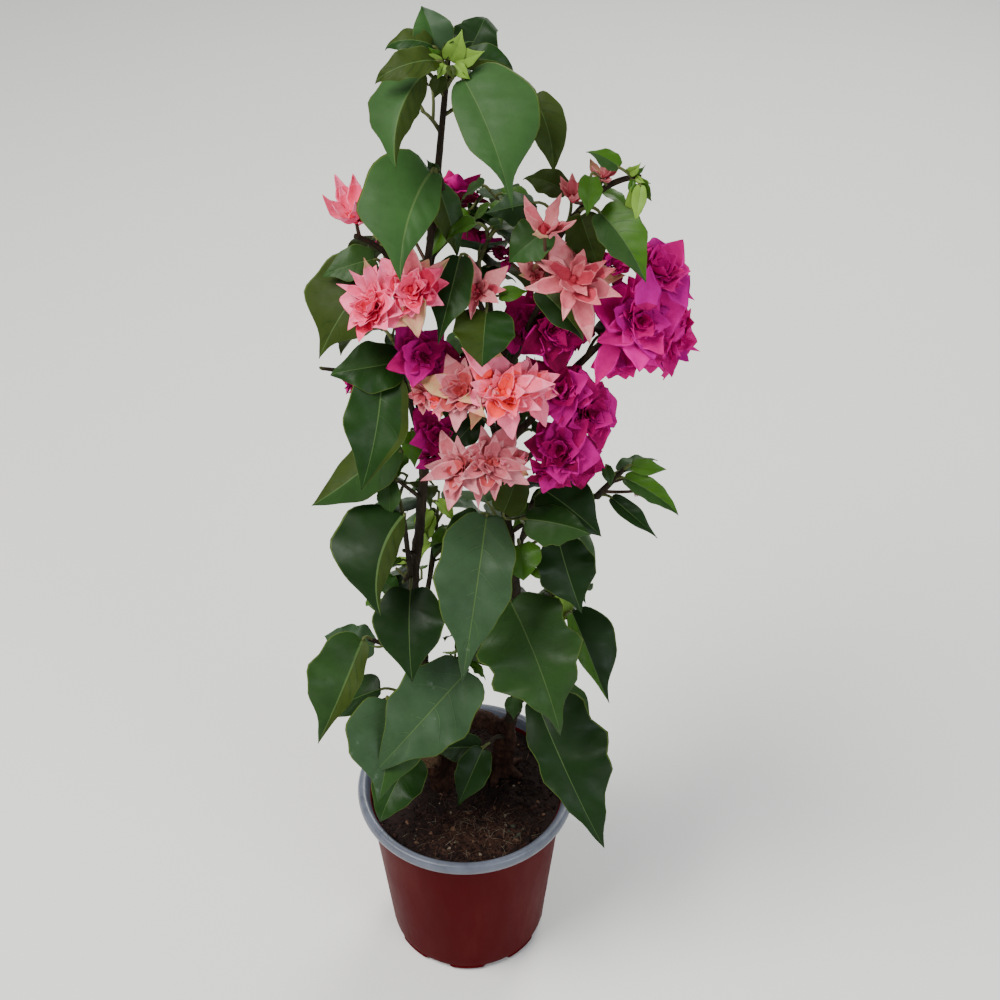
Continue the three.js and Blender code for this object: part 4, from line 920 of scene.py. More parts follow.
def grow_finer(plant):
    """Carries the plant's twigs on to finer ones with small young leaves, where there is room."""
    for number, (mass, twig) in enumerate(list(plant.twigs)):
        if mass.name not in FINE_MASSES:
            continue
        roll = dice(FINE_TWIG_SEED + number)
        for place in (0.4, 0.72, 0.98):
            way = heading(360 * next(roll), 20 + 40 * next(roll)) * (9 + 9 * next(roll))
            fine = twig_curve(twig.point(place), way, 0.8)
            tested = plain_tube(fine, FINEST_TWIG_ROOM, 3, 2, GAP)
            if plant.room.touches(*tested, mass.name, ("stem", "stalk", "twig")):
                continue
            plant.fine_twigs.append(fine)
            for j in range(2):
                bearing = 360 * next(roll)
                leaf = {
                    "bearing": bearing, "droop": 10 + 45 * next(roll), "length": 15 + 13 * next(roll),
                    "width": 0.58 + 0.14 * next(roll), "roll": 40 * (next(roll) - 0.5),
                }
                plant.add_leaf(mass, fine, 0.6 + 0.38 * j, (bearing, 30, 4 + 3 * next(roll)), leaf)


@functools.cache
def bush():
    """The plant with its finer twigs, its leaves' own habits, its sprigs and its further blooms."""
    plant = Bush()
    grow_finer(plant)
    plant.leaves = [refined(leaf) for leaf in plant.leaves]
    plant.sprigs = [sprig_leaf(*row) for row in SPRIG_LEAVES]
    for number, (stem, place, centre, radius, count, bearing, rise, colour) in enumerate(MORE_BLOOMS):
        where = (stem, colour, plant.stems[stem].point(place), np.array(centre, float), (bearing, rise))
        plant.open_bloom(where, radius, count, MORE_BLOOM_SEED + number)
    return plant


class Gathered:
    """Points and faces gathered for one piece, each face with the number of its finish."""

    def __init__(self):
        self.points = []
        self.faces = []
        self.kinds = []
        self.count = 0

    def add(self, points, faces, kinds):
        """faces is an array of four-sided and an array of three-sided faces, kinds their finishes."""
        self.points.append(np.asarray(points, float))
        self.faces += [block + self.count for block in faces]
        self.kinds += kinds
        self.count += len(points)

    def add_tube(self, points, sides, kind):
        """A tube with its two end faces, from its rings of points."""
        around, ends = tube_faces(len(points) // sides, sides)
        faces = [np.array(around), *[np.array([end]) for end in ends]]
        self.add(points, faces, [np.full(len(block), kind) for block in faces])

    def make(self, name, finishes):
        """The piece, as one mesh in the scene."""
        points = np.vstack(self.points) * MM
        corners = np.concatenate([block.ravel() for block in self.faces])
        sizes = np.concatenate([np.full(len(block), block.shape[1]) for block in self.faces])
        mesh = bpy.data.meshes.new(name)
        mesh.vertices.add(len(points))
        mesh.vertices.foreach_set("co", points.ravel())
        mesh.loops.add(len(corners))
        mesh.loops.foreach_set("vertex_index", corners)
        mesh.polygons.add(len(sizes))
        mesh.polygons.foreach_set("loop_start", np.concatenate([[0], np.cumsum(sizes)[:-1]]))
        mesh.polygons.foreach_set("use_smooth", np.ones(len(sizes), bool))
        for finish in finishes:
            mesh.materials.append(finish)
        mesh.polygons.foreach_set("material_index", np.concatenate(self.kinds))
        mesh.update(calc_edges=True)
        mesh.validate()
        piece = bpy.data.objects.new(name, mesh)
        bpy.context.scene.collection.objects.link(piece)
        return piece


def seat(piece, slot, *nodes):
    """The piece rides on the plant and stands for its nodes, which it hides. Its slot is not used."""
    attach(piece, "root")
    if nodes:
        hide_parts(*nodes)
    return piece


# The columns of a leaf from margin to margin. The two nearest the middle bound the midrib.
LEAF_COLUMNS = np.array([-1, -0.965, -0.74, -0.46, -0.2, -0.06, 0.06, 0.2, 0.46, 0.74, 0.965, 1])
BRACT_COLUMNS = np.array([-1, -0.82, -0.42, 0, 0.42, 0.82, 1])
LEAF_ROW_COUNT = 24
SMALL_LEAF_ROW_COUNT = 12
BRACT_ROW_COUNT = 10
RIB_HALF = (0.48, 0.13)
VEIN_PAIRS = 6
VEIN_STEPS = 8


@functools.cache
def blade_net(rows, columns):
    """The three-sided faces of a closed thin blade whose upper and lower side share their margins.

    Both sides are split along the same diagonals, so that neither shows through the other. Gives the
    faces, and for each its column, whether it looks up, and its row."""
    upper = np.arange(rows * columns).reshape(rows, columns)
    lower = upper.copy()
    lower[:, 1:-1] = rows * columns + np.arange(rows * (columns - 2)).reshape(rows, -1)
    faces, marks = [], []
    for row in range(rows - 1):
        for column in range(columns - 1):
            for net, looks_up in ((upper, 1), (lower, 0)):
                a, b = net[row, column:column + 2]
                d, c = net[row + 1, column:column + 2]
                for face in ((a, b, c), (a, c, d)):
                    faces.append(face if looks_up else face[::-1])
                    marks.append((column, looks_up, row))
    for row in (0, rows - 1):
        for column in range(columns - 1):
            a, d = upper[row, column:column + 2]
            b, c = lower[row, column:column + 2]
            for face in ((a, b, c), (a, c, d)):
                if len(set(face)) == 3:
                    faces.append(face[::-1] if row else face)
                    marks.append((column, 1, min(row, rows - 2)))
    return np.array(faces), np.array(marks)


def smooth_step(low, high, value):
    share = np.clip((value - low) / (high - low), 0, 1)
    return share * share * (3 - 2 * share)


def turned(axis, other, angle):
    """An axis turned towards another by the angle at each point."""
    return axis * np.cos(angle)[..., None] + other * np.sin(angle)[..., None]


def blade_surface(axes, habit, t, across):
    """Points and upward normals of a blade's middle surface, t along it and across from -1 to 1."""
    fine = np.linspace(0, 1, 65)
    hook = np.clip((fine - 0.68) / 0.32, 0, 1) ** 2
    arch, end, sway, fold, twist = np.radians([habit[k] for k in ("arch", "hook", "sway", "fold", "twist")])
    bend = arch * (fine - 0.5) + end * hook
    aside = sway * (fine - 0.5)

    def run(rate):
        return np.concatenate([[0], np.cumsum((rate[1:] + rate[:-1]) / 2)]) / 64 * habit["length"]

    forward = np.interp(t, fine, run(np.cos(bend) * np.cos(aside)))
    upward = np.interp(t, fine, run(-np.sin(bend)))
    sideways = np.interp(t, fine, run(np.sin(aside)))
    bend = np.interp(t, fine, bend)
    aside = np.interp(t, fine, aside)
    side_of = np.where(across < 0, 0, 1)
    phase = np.array(habit["phase"])[side_of]
    far = np.abs(across)
    width = taper(t, *habit["taper"]) * (1 - habit["drip"] * smooth_step(0.5, 0.86, t))
    wobble = 1 + habit["wobble"] * np.sin(2 * math.pi * habit["waves"] * 1.3 * t + phase)
    lobe = np.array([habit["left"], habit["right"]])[side_of]
    half = habit["length"] * habit["width"] / 2 * width * wobble * lobe
    half = np.maximum(half, habit["least"] * (1.2 - t))
    out = half * across * math.cos(fold)
    ripple = habit["ripple"] * np.sin(2 * math.pi * habit["waves"] * t + phase) * far**1.7
    ripple = ripple * np.sin(math.pi * np.clip(t, 0, 1)) ** 0.5
    quilt = habit["quilt"] * np.sin(2 * math.pi * (VEIN_PAIRS * (t - 0.2 * far))) * 4 * far * (1 - far)
    lift = half * (far * math.sin(fold) - habit["curl"] * across**2 + ripple) + quilt * np.sin(math.pi * t)
    twist = twist * (t - 0.2)
    flat_side = turned(axes.side, -axes.along, aside)
    flat_normal = turned(axes.normal, axes.along, bend)
    side = turned(flat_side, flat_normal, twist)
    normal = turned(flat_normal, -flat_side, twist)
    middle = axes.base + axes.along * forward[..., None] + axes.normal * upward[..., None]
    middle = middle + axes.side * sideways[..., None]
    near = t / 0.07 * np.exp(1 - t / 0.07)
    shoulder = habit["shoulder"] * habit["length"] * habit["width"] * lobe * near * far**1.6
    middle = middle - axes.along * shoulder[..., None]
    outward = turned(normal, -side, np.sign(across) * fold)
    return middle + side * out[..., None] + normal * lift[..., None], outward, half


def blade_rows(count):
    """Shares along a blade, closer at its two ends."""
    even = np.linspace(0, 1, count)
    return 0.55 * even + 0.45 * (1 - np.cos(math.pi * even)) / 2


def leaf_habit(leaf, roll):
    """How one leaf arches, folds, ripples and twists."""
    habit = {
        "length": leaf["length"], "width": leaf["width"], "taper": LEAF_FORM.taper, "least": 0.5,
        "arch": LEAF_FORM.arch + 24 * (next(roll) - 0.4),
        "hook": 34 * next(roll),
        "sway": 34 * (next(roll) - 0.5),
        "fold": LEAF_FORM.fold + 14 * (next(roll) - 0.5),
        "curl": 0.05 + 0.16 * next(roll),
        "ripple": 0.08 + 0.1 * next(roll),
        "waves": 1.9 + 1.6 * next(roll),
        "phase": (6.3 * next(roll), 6.3 * next(roll)),
        "wobble": 0.02 + 0.03 * next(roll),
        "twist": 30 * (next(roll) - 0.5),
        "drip": 0.3 + 0.25 * next(roll),
        "quilt": 0.008 * leaf["length"], "left": 1, "right": 1, "shoulder": 0.1,
    }
    return {**habit, **{key: leaf[key] for key in habit if key in leaf}}


def add_fine_leaf(gathered, leaf, habit, tones):
    """One leaf: a closed thin blade with its rib, a pale edge that paints a highlight along its margin, and
    its side veins.
    """
    axes = leaf["axes"]
    small = habit["length"] < 30
    count = SMALL_LEAF_ROW_COUNT if small else LEAF_ROW_COUNT
    columns = len(LEAF_COLUMNS)
    size = min(1, habit["length"] / 60)
    across, t = np.meshgrid(LEAF_COLUMNS, blade_rows(count))
    half = blade_surface(axes, habit, t[:, :1], across[:, :1] * 0)[2]
    rib = (RIB_HALF[0] + (RIB_HALF[1] - RIB_HALF[0]) * t[:, :1]) * size
    rib_share = np.clip(rib / half, 0.01, 0.16)
    across[:, 5:6] = -rib_share
    across[:, 6:7] = rib_share
    middle, outward, half = blade_surface(axes, habit, t, across)
    thick = 0.2 * (1 - np.abs(across) ** 4)[..., None]
    upper = middle + outward * thick
    lower = middle - outward * thick
    upper[:, 5:7] -= 0.12 * outward[:, 5:7] * size
    lower[:, 5:7] -= 0.35 * outward[:, 5:7] * size
    faces, marks = blade_net(count, columns)
    column, looks_up = marks[:, 0], marks[:, 1]
    # Each half takes its own tone, which paints the light on a lit half and the shade on a half turned away
    kinds = np.where(column < 5, tones[0], tones[1])
    if "strip" in leaf:
        kinds = np.where(column >= leaf["strip"][0], leaf["strip"][1], kinds)
    kinds = np.where(looks_up == 1, kinds, OLIVE)
    kinds = np.where(column == 5, RIB, kinds)
    # A pale strip along each margin paints the highlight where the light catches the leaf's edge
    kinds = np.where((column == 0) | (column == columns - 2), EDGE_HIGHLIGHT, kinds)
    gathered.add(np.vstack([upper.reshape(-1, 3), lower[:, 1:-1].reshape(-1, 3)]), [faces], [kinds])
    if not small:
        add_veins(gathered, axes, habit, tones)


# The tone of the side veins on each tone of skin. Pale and shaded skin show none
VEIN_TONES = {DEEP: MID, MID: PALE, FRESH: VEIN, YOUNG: RIB, OLIVE: MID, DUSTY: VEIN}


def add_veins(gathered, axes, habit, tones):
    """Thin side veins that run out from the rib and bend towards the tip, as ribbons on the skin."""
    steps = np.linspace(0, 1, VEIN_STEPS)
    low = np.arange(VEIN_STEPS - 1) * 2
    faces = np.stack([low, low + 1, low + 3, low + 2], axis=1)
    for sign in (-1, 1):
        tone = VEIN_TONES.get(tones[0 if sign < 0 else 1])
        for pair in range(VEIN_PAIRS if tone else 0):
            start = 0.06 + 0.8 * pair / VEIN_PAIRS + (0.02 if sign > 0 else 0)
            t = start + (0.2 - 0.016 * pair) * steps**1.35
            across = sign * (0.03 + (0.86 - 0.05 * pair) * steps)
            points, outward, _ = blade_surface(axes, habit, t, across)
            points = points + outward * (0.36 - 0.1 * steps[:, None] ** 3)
            run = np.gradient(points, axis=0)
            cross = np.cross(outward, run)
            cross /= np.linalg.norm(cross, axis=1, keepdims=True)
            half = (0.22 - 0.16 * steps)[:, None] * min(1, habit["length"] / 70)
            ribbon = np.stack([points + cross * half, points - cross * half], axis=1).reshape(-1, 3)
            gathered.add(ribbon, [faces], [np.full(len(faces), tone)])


BARK_SIDES = 18
BARK_STEP = 2.2


def bark_relief(depth, seed, knots=(), swelling=0):
    """Long fissures and low bumps round a stem, with a swelling at the height of each knot."""
    def relief(angles, shares, centres):
        rows = np.zeros((len(shares), len(angles)))
        for i, centre in enumerate(centres):
            for j, angle in enumerate(angles):
                streak = Vector((2.4 * math.sin(angle), 2.4 * math.cos(angle), centre[2] * 0.045 + seed))
                grain = Vector((5 * math.sin(angle), 5 * math.cos(angle), centre[2] * 0.16 + seed))
                rows[i, j] = depth * (1.2 * noise.noise(streak) + 0.7 * noise.noise(grain))
        for height in knots:
            away = (centres[:, 2] - height) / 3.4
            rows += swelling * np.exp(-away**2)[:, None]
        return rows

    return relief


def add_node(tree, kind, inputs):
    """A new node. Each input is linked where it is another node's output, and else set."""
    node = tree.nodes.new(kind)
    for name, value in inputs.items():
        if isinstance(value, bpy.types.NodeSocket):
            tree.links.new(value, node.inputs[name])
        else:
            node.inputs[name].default_value = value
    return node


def mottle(tree, place, scale, detail, rough):
    """Soft noise at the coordinates given."""
    inputs = {"Vector": place, "Scale": scale, "Detail": detail, "Roughness": rough}
    return add_node(tree, "ShaderNodeTexNoise", inputs).outputs["Fac"]


def ramp(tree, factor, stops):
    """Colours along a factor: each stop is a share and a colour."""
    node = add_node(tree, "ShaderNodeValToRGB", {"Fac": factor})
    elements = node.color_ramp.elements
    while len(elements) < len(stops):
        elements.new(0.5)
    for element, (share, colour) in zip(elements, stops):
        element.position = share
        element.color = (*colour, 1)
    return node.outputs["Color"]


def finish(name, roughness, specular, grain, stops, sheen=None, relief=None, streak=None, plain_sheen=False):
    """A material whose patterns lie in the object's own coordinates, drawn out on each axis by a streak.

    Grain is the scale, detail and roughness of the mottle that its colours follow. Sheen is a mottle alike
    with the lowest and highest roughness, and relief one with a strength and a depth in metres."""
    material = bpy.data.materials.new(name)
    material.use_nodes = True
    tree = material.node_tree
    shader = tree.nodes["Principled BSDF"]
    shader.inputs["Roughness"].default_value = roughness
    shader.inputs["Specular IOR Level"].default_value = specular
    plain = tree.nodes.new("ShaderNodeTexCoord").outputs["Object"]
    place = plain
    if streak:
        place = add_node(tree, "ShaderNodeMapping", {"Vector": plain, "Scale": streak}).outputs["Vector"]
    tree.links.new(ramp(tree, mottle(tree, place, *grain), stops), shader.inputs["Base Color"])
    if sheen:
        *pattern, low, high = sheen
        inputs = {"Value": mottle(tree, plain if plain_sheen else place, *pattern), "From Min": 0.3,
            "From Max": 0.7, "To Min": low, "To Max": high}
        node = add_node(tree, "ShaderNodeMapRange", inputs)
        tree.links.new(node.outputs["Result"], shader.inputs["Roughness"])
    if relief:
        *pattern, strength, depth = relief
        inputs = {"Height": mottle(tree, place, *pattern), "Strength": strength, "Distance": depth}
        tree.links.new(add_node(tree, "ShaderNodeBump", inputs).outputs["Normal"], shader.inputs["Normal"])
    return material


def shade(colour, share):
    return tuple(channel * share for channel in colour)


def blend_colour(first, second, share):
    return tuple(a + (b - a) * share for a, b in zip(first, second))


def leaf_finish(name, colour, roughness=0.42, dust=None):
    """Leaf skin: a soft mottle of its green, a waxy sheen that varies, and dried dust on some."""
    stops = [(0.3, shade(colour, 0.84)), (0.5, colour), (0.66, shade(colour, 1.14))]
    if dust:
        stops.append((0.74, dust))
    return finish(name, roughness, 0.15, (45, 4, 0.65), stops,
        sheen=(120, 4, 0.55, roughness - 0.07, roughness + 0.1), relief=(900, 2, 0.55, 0.12, 0.0004))


def bract_finish(name, pale, deep, roughness=0.6):
    """Papery bract: pale and deep tones of one colour in fine flecks, with a dry crinkle."""
    stops = [(0.32, deep), (0.52, blend_colour(deep, pale, 0.6)), (0.72, pale)]
    return finish(name, roughness, 0.08, (260, 5, 0.65), stops, relief=(500, 3, 0.55, 0.25, 0.0005))


def bark_finish(name, dark, light, streak=(9, 9, 1.4)):
    """Bark: long streaks of two browns with pale flecks and a rough dry surface."""
    stops = [(0.3, dark), (0.55, blend_colour(dark, light, 0.45)), (0.75, light)]
    return finish(name, 0.85, 0.15, (55, 6, 0.7), stops, sheen=(300, 3, 0.55, 0.7, 0.95),
        relief=(90, 5, 0.7, 0.7, 0.0008), streak=streak, plain_sheen=True)


def pot_plastic(colour):
    """Thin moulded plastic: even maroon with scuffs, handling dust and a soft sheen."""
    dusty = blend_colour(colour, (0.3, 0.12, 0.1), 0.05)
    stops = [(0.3, shade(colour, 0.9)), (0.55, colour), (0.75, dusty)]
    return finish("pot_plastic", 0.38, 0.02, (26, 5, 0.6), stops, sheen=(60, 5, 0.7, 0.36, 0.52),
        relief=(240, 4, 0.55, 0.1, 0.0005), streak=(1, 1, 0.25))


def rim_plastic(colour):
    """The lip's plastic in a slate blue-grey that paints the sky's reflection on it, with faint wear and soil
    dust.
    """
    stops = [(0.3, shade(colour, 0.72)), (0.5, colour), (0.74, shade(colour, 1.25))]
    return finish("rim_plastic", 0.42, 0.5, (70, 6, 0.65), stops, sheen=(150, 4, 0.55, 0.26, 0.45),
        relief=(420, 3, 0.55, 0.15, 0.0004))


def peat_finish(name, colour):
    """Crumbly peat, bark or stone: dark hollows, pale crumbs and a rough dull surface."""
    stops = [(0.3, shade(colour, 0.45)), (0.52, colour), (0.75, shade(colour, 1.9))]
    return finish(name, 0.92, 0.2, (420, 5, 0.7), stops, relief=(900, 4, 0.7, 0.6, 0.0006))


def colour_setting(name, description, default):
    """A colour to set in the sidebar."""
    return FloatVectorProperty(name=name, description=description, subtype="COLOR", default=default,
        min=0, max=1)


class PotSettings(bpy.types.PropertyGroup):
    """Colours and wall of the nursery pot."""
    body_colour: colour_setting("Body colour", "Plastic of the pot's outside", (0.062, 0.0014, 0.0026))
    # The lip's blue-grey paints the sky's reflection on its plastic
    rim_colour: colour_setting("Rim colour", "Plastic of the lip and the inside", (0.085, 0.095, 0.125))
    lining_depth: FloatProperty(name="Lining depth", description="How far the lip's plastic runs down inside",
        unit="LENGTH", default=0.03, min=0.012, max=0.12)


class SoilSettings(bpy.types.PropertyGroup):
    """The peat and what lies on it."""
    clumps: IntProperty(name="Clumps", description="Bits of bark and peat on top", default=2600, min=0)
    fibres: IntProperty(name="Fibres", description="Loose coir fibres on top", default=2600, min=0)
    colour: colour_setting("Peat colour", "Colour of the damp peat", (0.0105, 0.005, 0.004))


class WoodSettings(bpy.types.PropertyGroup):
    """Bark of the stems and the old base."""
    relief: FloatProperty(name="Bark relief", description="Depth of the fissures as a share of the radius",
        default=0.14, min=0, max=0.4)
    bark_colour: colour_setting("Bark colour", "Brown of the stems", (0.026, 0.019, 0.011))
    fuse_size: FloatProperty(name="Fusing grain", description="Grain at which the base's limbs are fused",
        unit="LENGTH", default=0.001, min=0.0005, max=0.003)


class LeafSettings(bpy.types.PropertyGroup):
    """Greens of the leaves. The deep green is darkened to paint the shade on the lower leaves, and the
    glaucous green is lightened to paint the light from above and the sky's sheen on the crown.
    """
    deep: colour_setting("Deep green", "Shaded lower leaves", (0.0095, 0.034, 0.0045))
    # A lightened green that paints the light and the sky's sheen on the crown leaves
    pale: colour_setting("Glaucous green", "Dusty leaves of the crown", (0.0235, 0.067, 0.014))
    young: colour_setting("Young green", "Tips and buds", (0.15, 0.27, 0.035))


class BlossomSettings(bpy.types.PropertyGroup):
    """Colours of the bracts."""
    pink: colour_setting("Pink", "Pink bracts", (0.8, 0.058, 0.16))
    coral: colour_setting("Coral", "Coral bracts", (0.88, 0.09, 0.16))
    magenta: colour_setting("Magenta", "Magenta bracts", (0.56, 0.0003, 0.18))


class StageSettings(bpy.types.PropertyGroup):
    """Floor and light."""
    floor_colour: colour_setting("Floor colour", "Pale floor", (0.77, 0.77, 0.76))
    key_power: FloatProperty(name="Key light", description="Power of the large light above",
        unit="POWER", default=110, min=0)
    fill_power: FloatProperty(name="Fill light", description="Power of the light beside the camera",
        unit="POWER", default=28, min=0)
    back_power: FloatProperty(name="Back light", description="Power of the light behind the plant",
        unit="POWER", default=45, min=0)


def lathe(gathered, outline, sides, kind, shift=None):
    """A closed turned form, from an outline of radius and height that runs from axis to axis or joins up."""
    closed = outline[0][0] > 0
    angles = 2 * math.pi * np.arange(sides) / sides
    rows = [(r, z) for r, z in outline if r > 0]
    points = np.array([[(r * math.sin(a), -r * math.cos(a), z) for a in angles] for r, z in rows])
    if shift is not None:
        points = shift(points, angles)
    flat = points.reshape(-1, 3)
    count = len(flat)
    last = count - sides
    quads = tube_faces(len(rows), sides)[0]
    pairs = [(side, (side + 1) % sides) for side in range(sides)]
    if closed:
        faces = [np.array(quads + [(last + side, last + after, after, side) for side, after in pairs])]
    else:
        flat = np.vstack([flat, [(0, 0, outline[0][1]), (0, 0, outline[-1][1])]])
        bottom = [(count, after, side) for side, after in pairs]
        top = [(count + 1, last + side, last + after) for side, after in pairs]
        faces = [np.array(quads), np.array(bottom + top)]
    gathered.add(flat, faces, [np.full(len(block), kind) for block in faces])


def rounded(corners, radii, steps=6):
    """An outline with each inner corner rounded by its radius."""
    corners = [np.array(c, float) for c in corners]
    outline = [tuple(corners[0])]
    for i in range(1, len(corners) - 1):
        before, corner, after = corners[i - 1], corners[i], corners[i + 1]
        size = radii[i]
        if not size:
            outline.append(tuple(corner))
            continue
        start = corner + unit(before - corner) * min(size, np.linalg.norm(before - corner) / 2)
        end = corner + unit(after - corner) * min(size, np.linalg.norm(after - corner) / 2)
        for t in np.linspace(0, 1, steps):
            outline.append(tuple((1 - t) ** 2 * start + 2 * t * (1 - t) * corner + t**2 * end))
    outline.append(tuple(corners[-1]))
    return outline


def lift_notches(points, angles):
    """Raises the foot's edge at the drain notches."""
    away = np.abs((angles * NOTCHES / (2 * math.pi)) % 1 - 0.5) * 360 / NOTCHES
    notch = 1 - smooth_step(NOTCH_ARC * 0.7, NOTCH_ARC, away)
    radius = np.hypot(points[..., 0], points[..., 1])
    low = 1 - smooth_step(NOTCH_HEIGHT, NOTCH_HEIGHT + 3, points[..., 2])
    edge = smooth_step(FOOT_RADIUS - 1.5, FOOT_RADIUS + 1, radius)
    points[..., 2] += NOTCH_HEIGHT * notch[None, :] * low * edge
    flare = (1 - notch)[None, :] * low * edge * 1.3
    points[..., :2] *= (1 + flare / np.maximum(radius, 1))[..., None]
    return points


POT_SIDES = 240


class BUSH_OT_pot(bpy.types.Operator):
    """Builds the pot's body and its rolled lip"""
    bl_idname = "bush.pot"
    bl_label = "Pot"

    def execute(self, context):
        settings = context.scene.bush_pot
        neck = POT_HEIGHT - LIP_DEPTH
        mouth = NECK_RADIUS - WALL
        outside = [(FOOT_RADIUS - 8, 0), (FOOT_RADIUS, 0), (CORNER_RADIUS - 1.6, 1.6),
            (CORNER_RADIUS + 0.1, 7.5), (NECK_RADIUS - 0.9, neck - 9), (NECK_RADIUS - 0.2, neck + 0.6)]
        inside = [(mouth - 0.3, neck + 0.6), (mouth - 0.9, neck - 9), (CORNER_RADIUS - WALL, 12),
            (CORNER_RADIUS - 5, 4.6), (FOOT_RADIUS - 5, 4.6), (FOOT_RADIUS - 8, 2.6)]
        radii = [0, 0.6, 1, 4, 5, 5, 0.5, 0.5, 4, 4, 2, 2, 2, 0]
        outline = rounded([(0, 0), *outside, *inside, (0, 2.6)], radii)
        body = Gathered()
        lathe(body, self.with_rows(outline), POT_SIDES, 0, lift_notches)
        seat(body.make("pot_body", [pot_plastic(settings.body_colour)]), "pot_plastic", "pot")
        deep = POT_HEIGHT - settings.lining_depth / MM
        ring = [(NECK_RADIUS + 0.1, neck - 1.2), (NECK_RADIUS + 2.4, neck - 1.4),
            (RIM_RADIUS - 2.2, neck - 0.4), (RIM_RADIUS - 0.5, neck + 1.6), (RIM_RADIUS, POT_HEIGHT - 4.5),
            (RIM_RADIUS - 1.4, POT_HEIGHT - 0.9), (RIM_RADIUS - 3.4, POT_HEIGHT),
            (RIM_RADIUS - 6.2, POT_HEIGHT - 0.5), (NECK_RADIUS + 0.4, POT_HEIGHT - 3.4), (mouth, neck - 1),
            (mouth - 1.6, deep), (mouth - 0.9, deep), (mouth + 0.2, neck - 2)]
        closed = rounded([*ring, ring[0]], [0] + [1.4] * (len(ring) - 1) + [0])[:-1]
        rim = Gathered()
        lathe(rim, closed, POT_SIDES, 0)
        seat(rim.make("pot_rim", [rim_plastic(settings.rim_colour)]), "pot_plastic", "pot")
        return {"FINISHED"}

    def with_rows(self, outline, longest=6.0):
        """The outline with long straight runs cut into shorter ones, for an even mesh."""
        full = [outline[0]]
        for (r0, z0), (r1, z1) in zip(outline[:-1], outline[1:]):
            pieces = max(1, int(math.hypot(r1 - r0, z1 - z0) / longest)) if r0 > FOOT_RADIUS - 9 else 1
            full += [(r0 + (r1 - r0) * i / pieces, z0 + (z1 - z0) * i / pieces) for i in range(1, pieces + 1)]
        return full


# The bits on the soil, with their finishes after that of the peat
PEAT, BARK, TAN, PALE_BIT, PEBBLE = range(5)
BIT_COLOURS = {
    "bark_bits": (0.03, 0.012, 0.008),
    "tan_bits": (0.1, 0.052, 0.032),
    "pale_bits": (0.17, 0.14, 0.1),
    "pebbles": (0.04, 0.042, 0.03),
}

# Larger bits on the soil: the place, the size and the finish
PEBBLES = [
    (-10, -38, 3.2, TAN), (33, -41, 2, PEBBLE), (37, -37, 2.3, PEBBLE), (41, -43, 2.4, PEBBLE),
    (44, -37, 2, PEBBLE), (38, -47, 1.9, PEBBLE), (31, -34, 1.6, PALE_BIT), (19, -52, 1.5, TAN),
    (-38, -44, 1.9, PEBBLE), (12, -62, 1.4, PALE_BIT),
]
SOIL_RING_COUNT = 58
SOIL_SIDE_COUNT = 200


def soil_height(x, y):
    """The peat's rough top at a place, above the level it is filled to."""
    place = Vector((x, y, 3.7))
    broad = noise.noise(place * 0.035) * 3.2
    lumps = noise.noise(place * 0.16) * 1.9
    crumbs = noise.noise(place * 0.5) * 1.1 + noise.noise(place * 1.3) * 0.5
    return broad + lumps + crumbs - 1.4


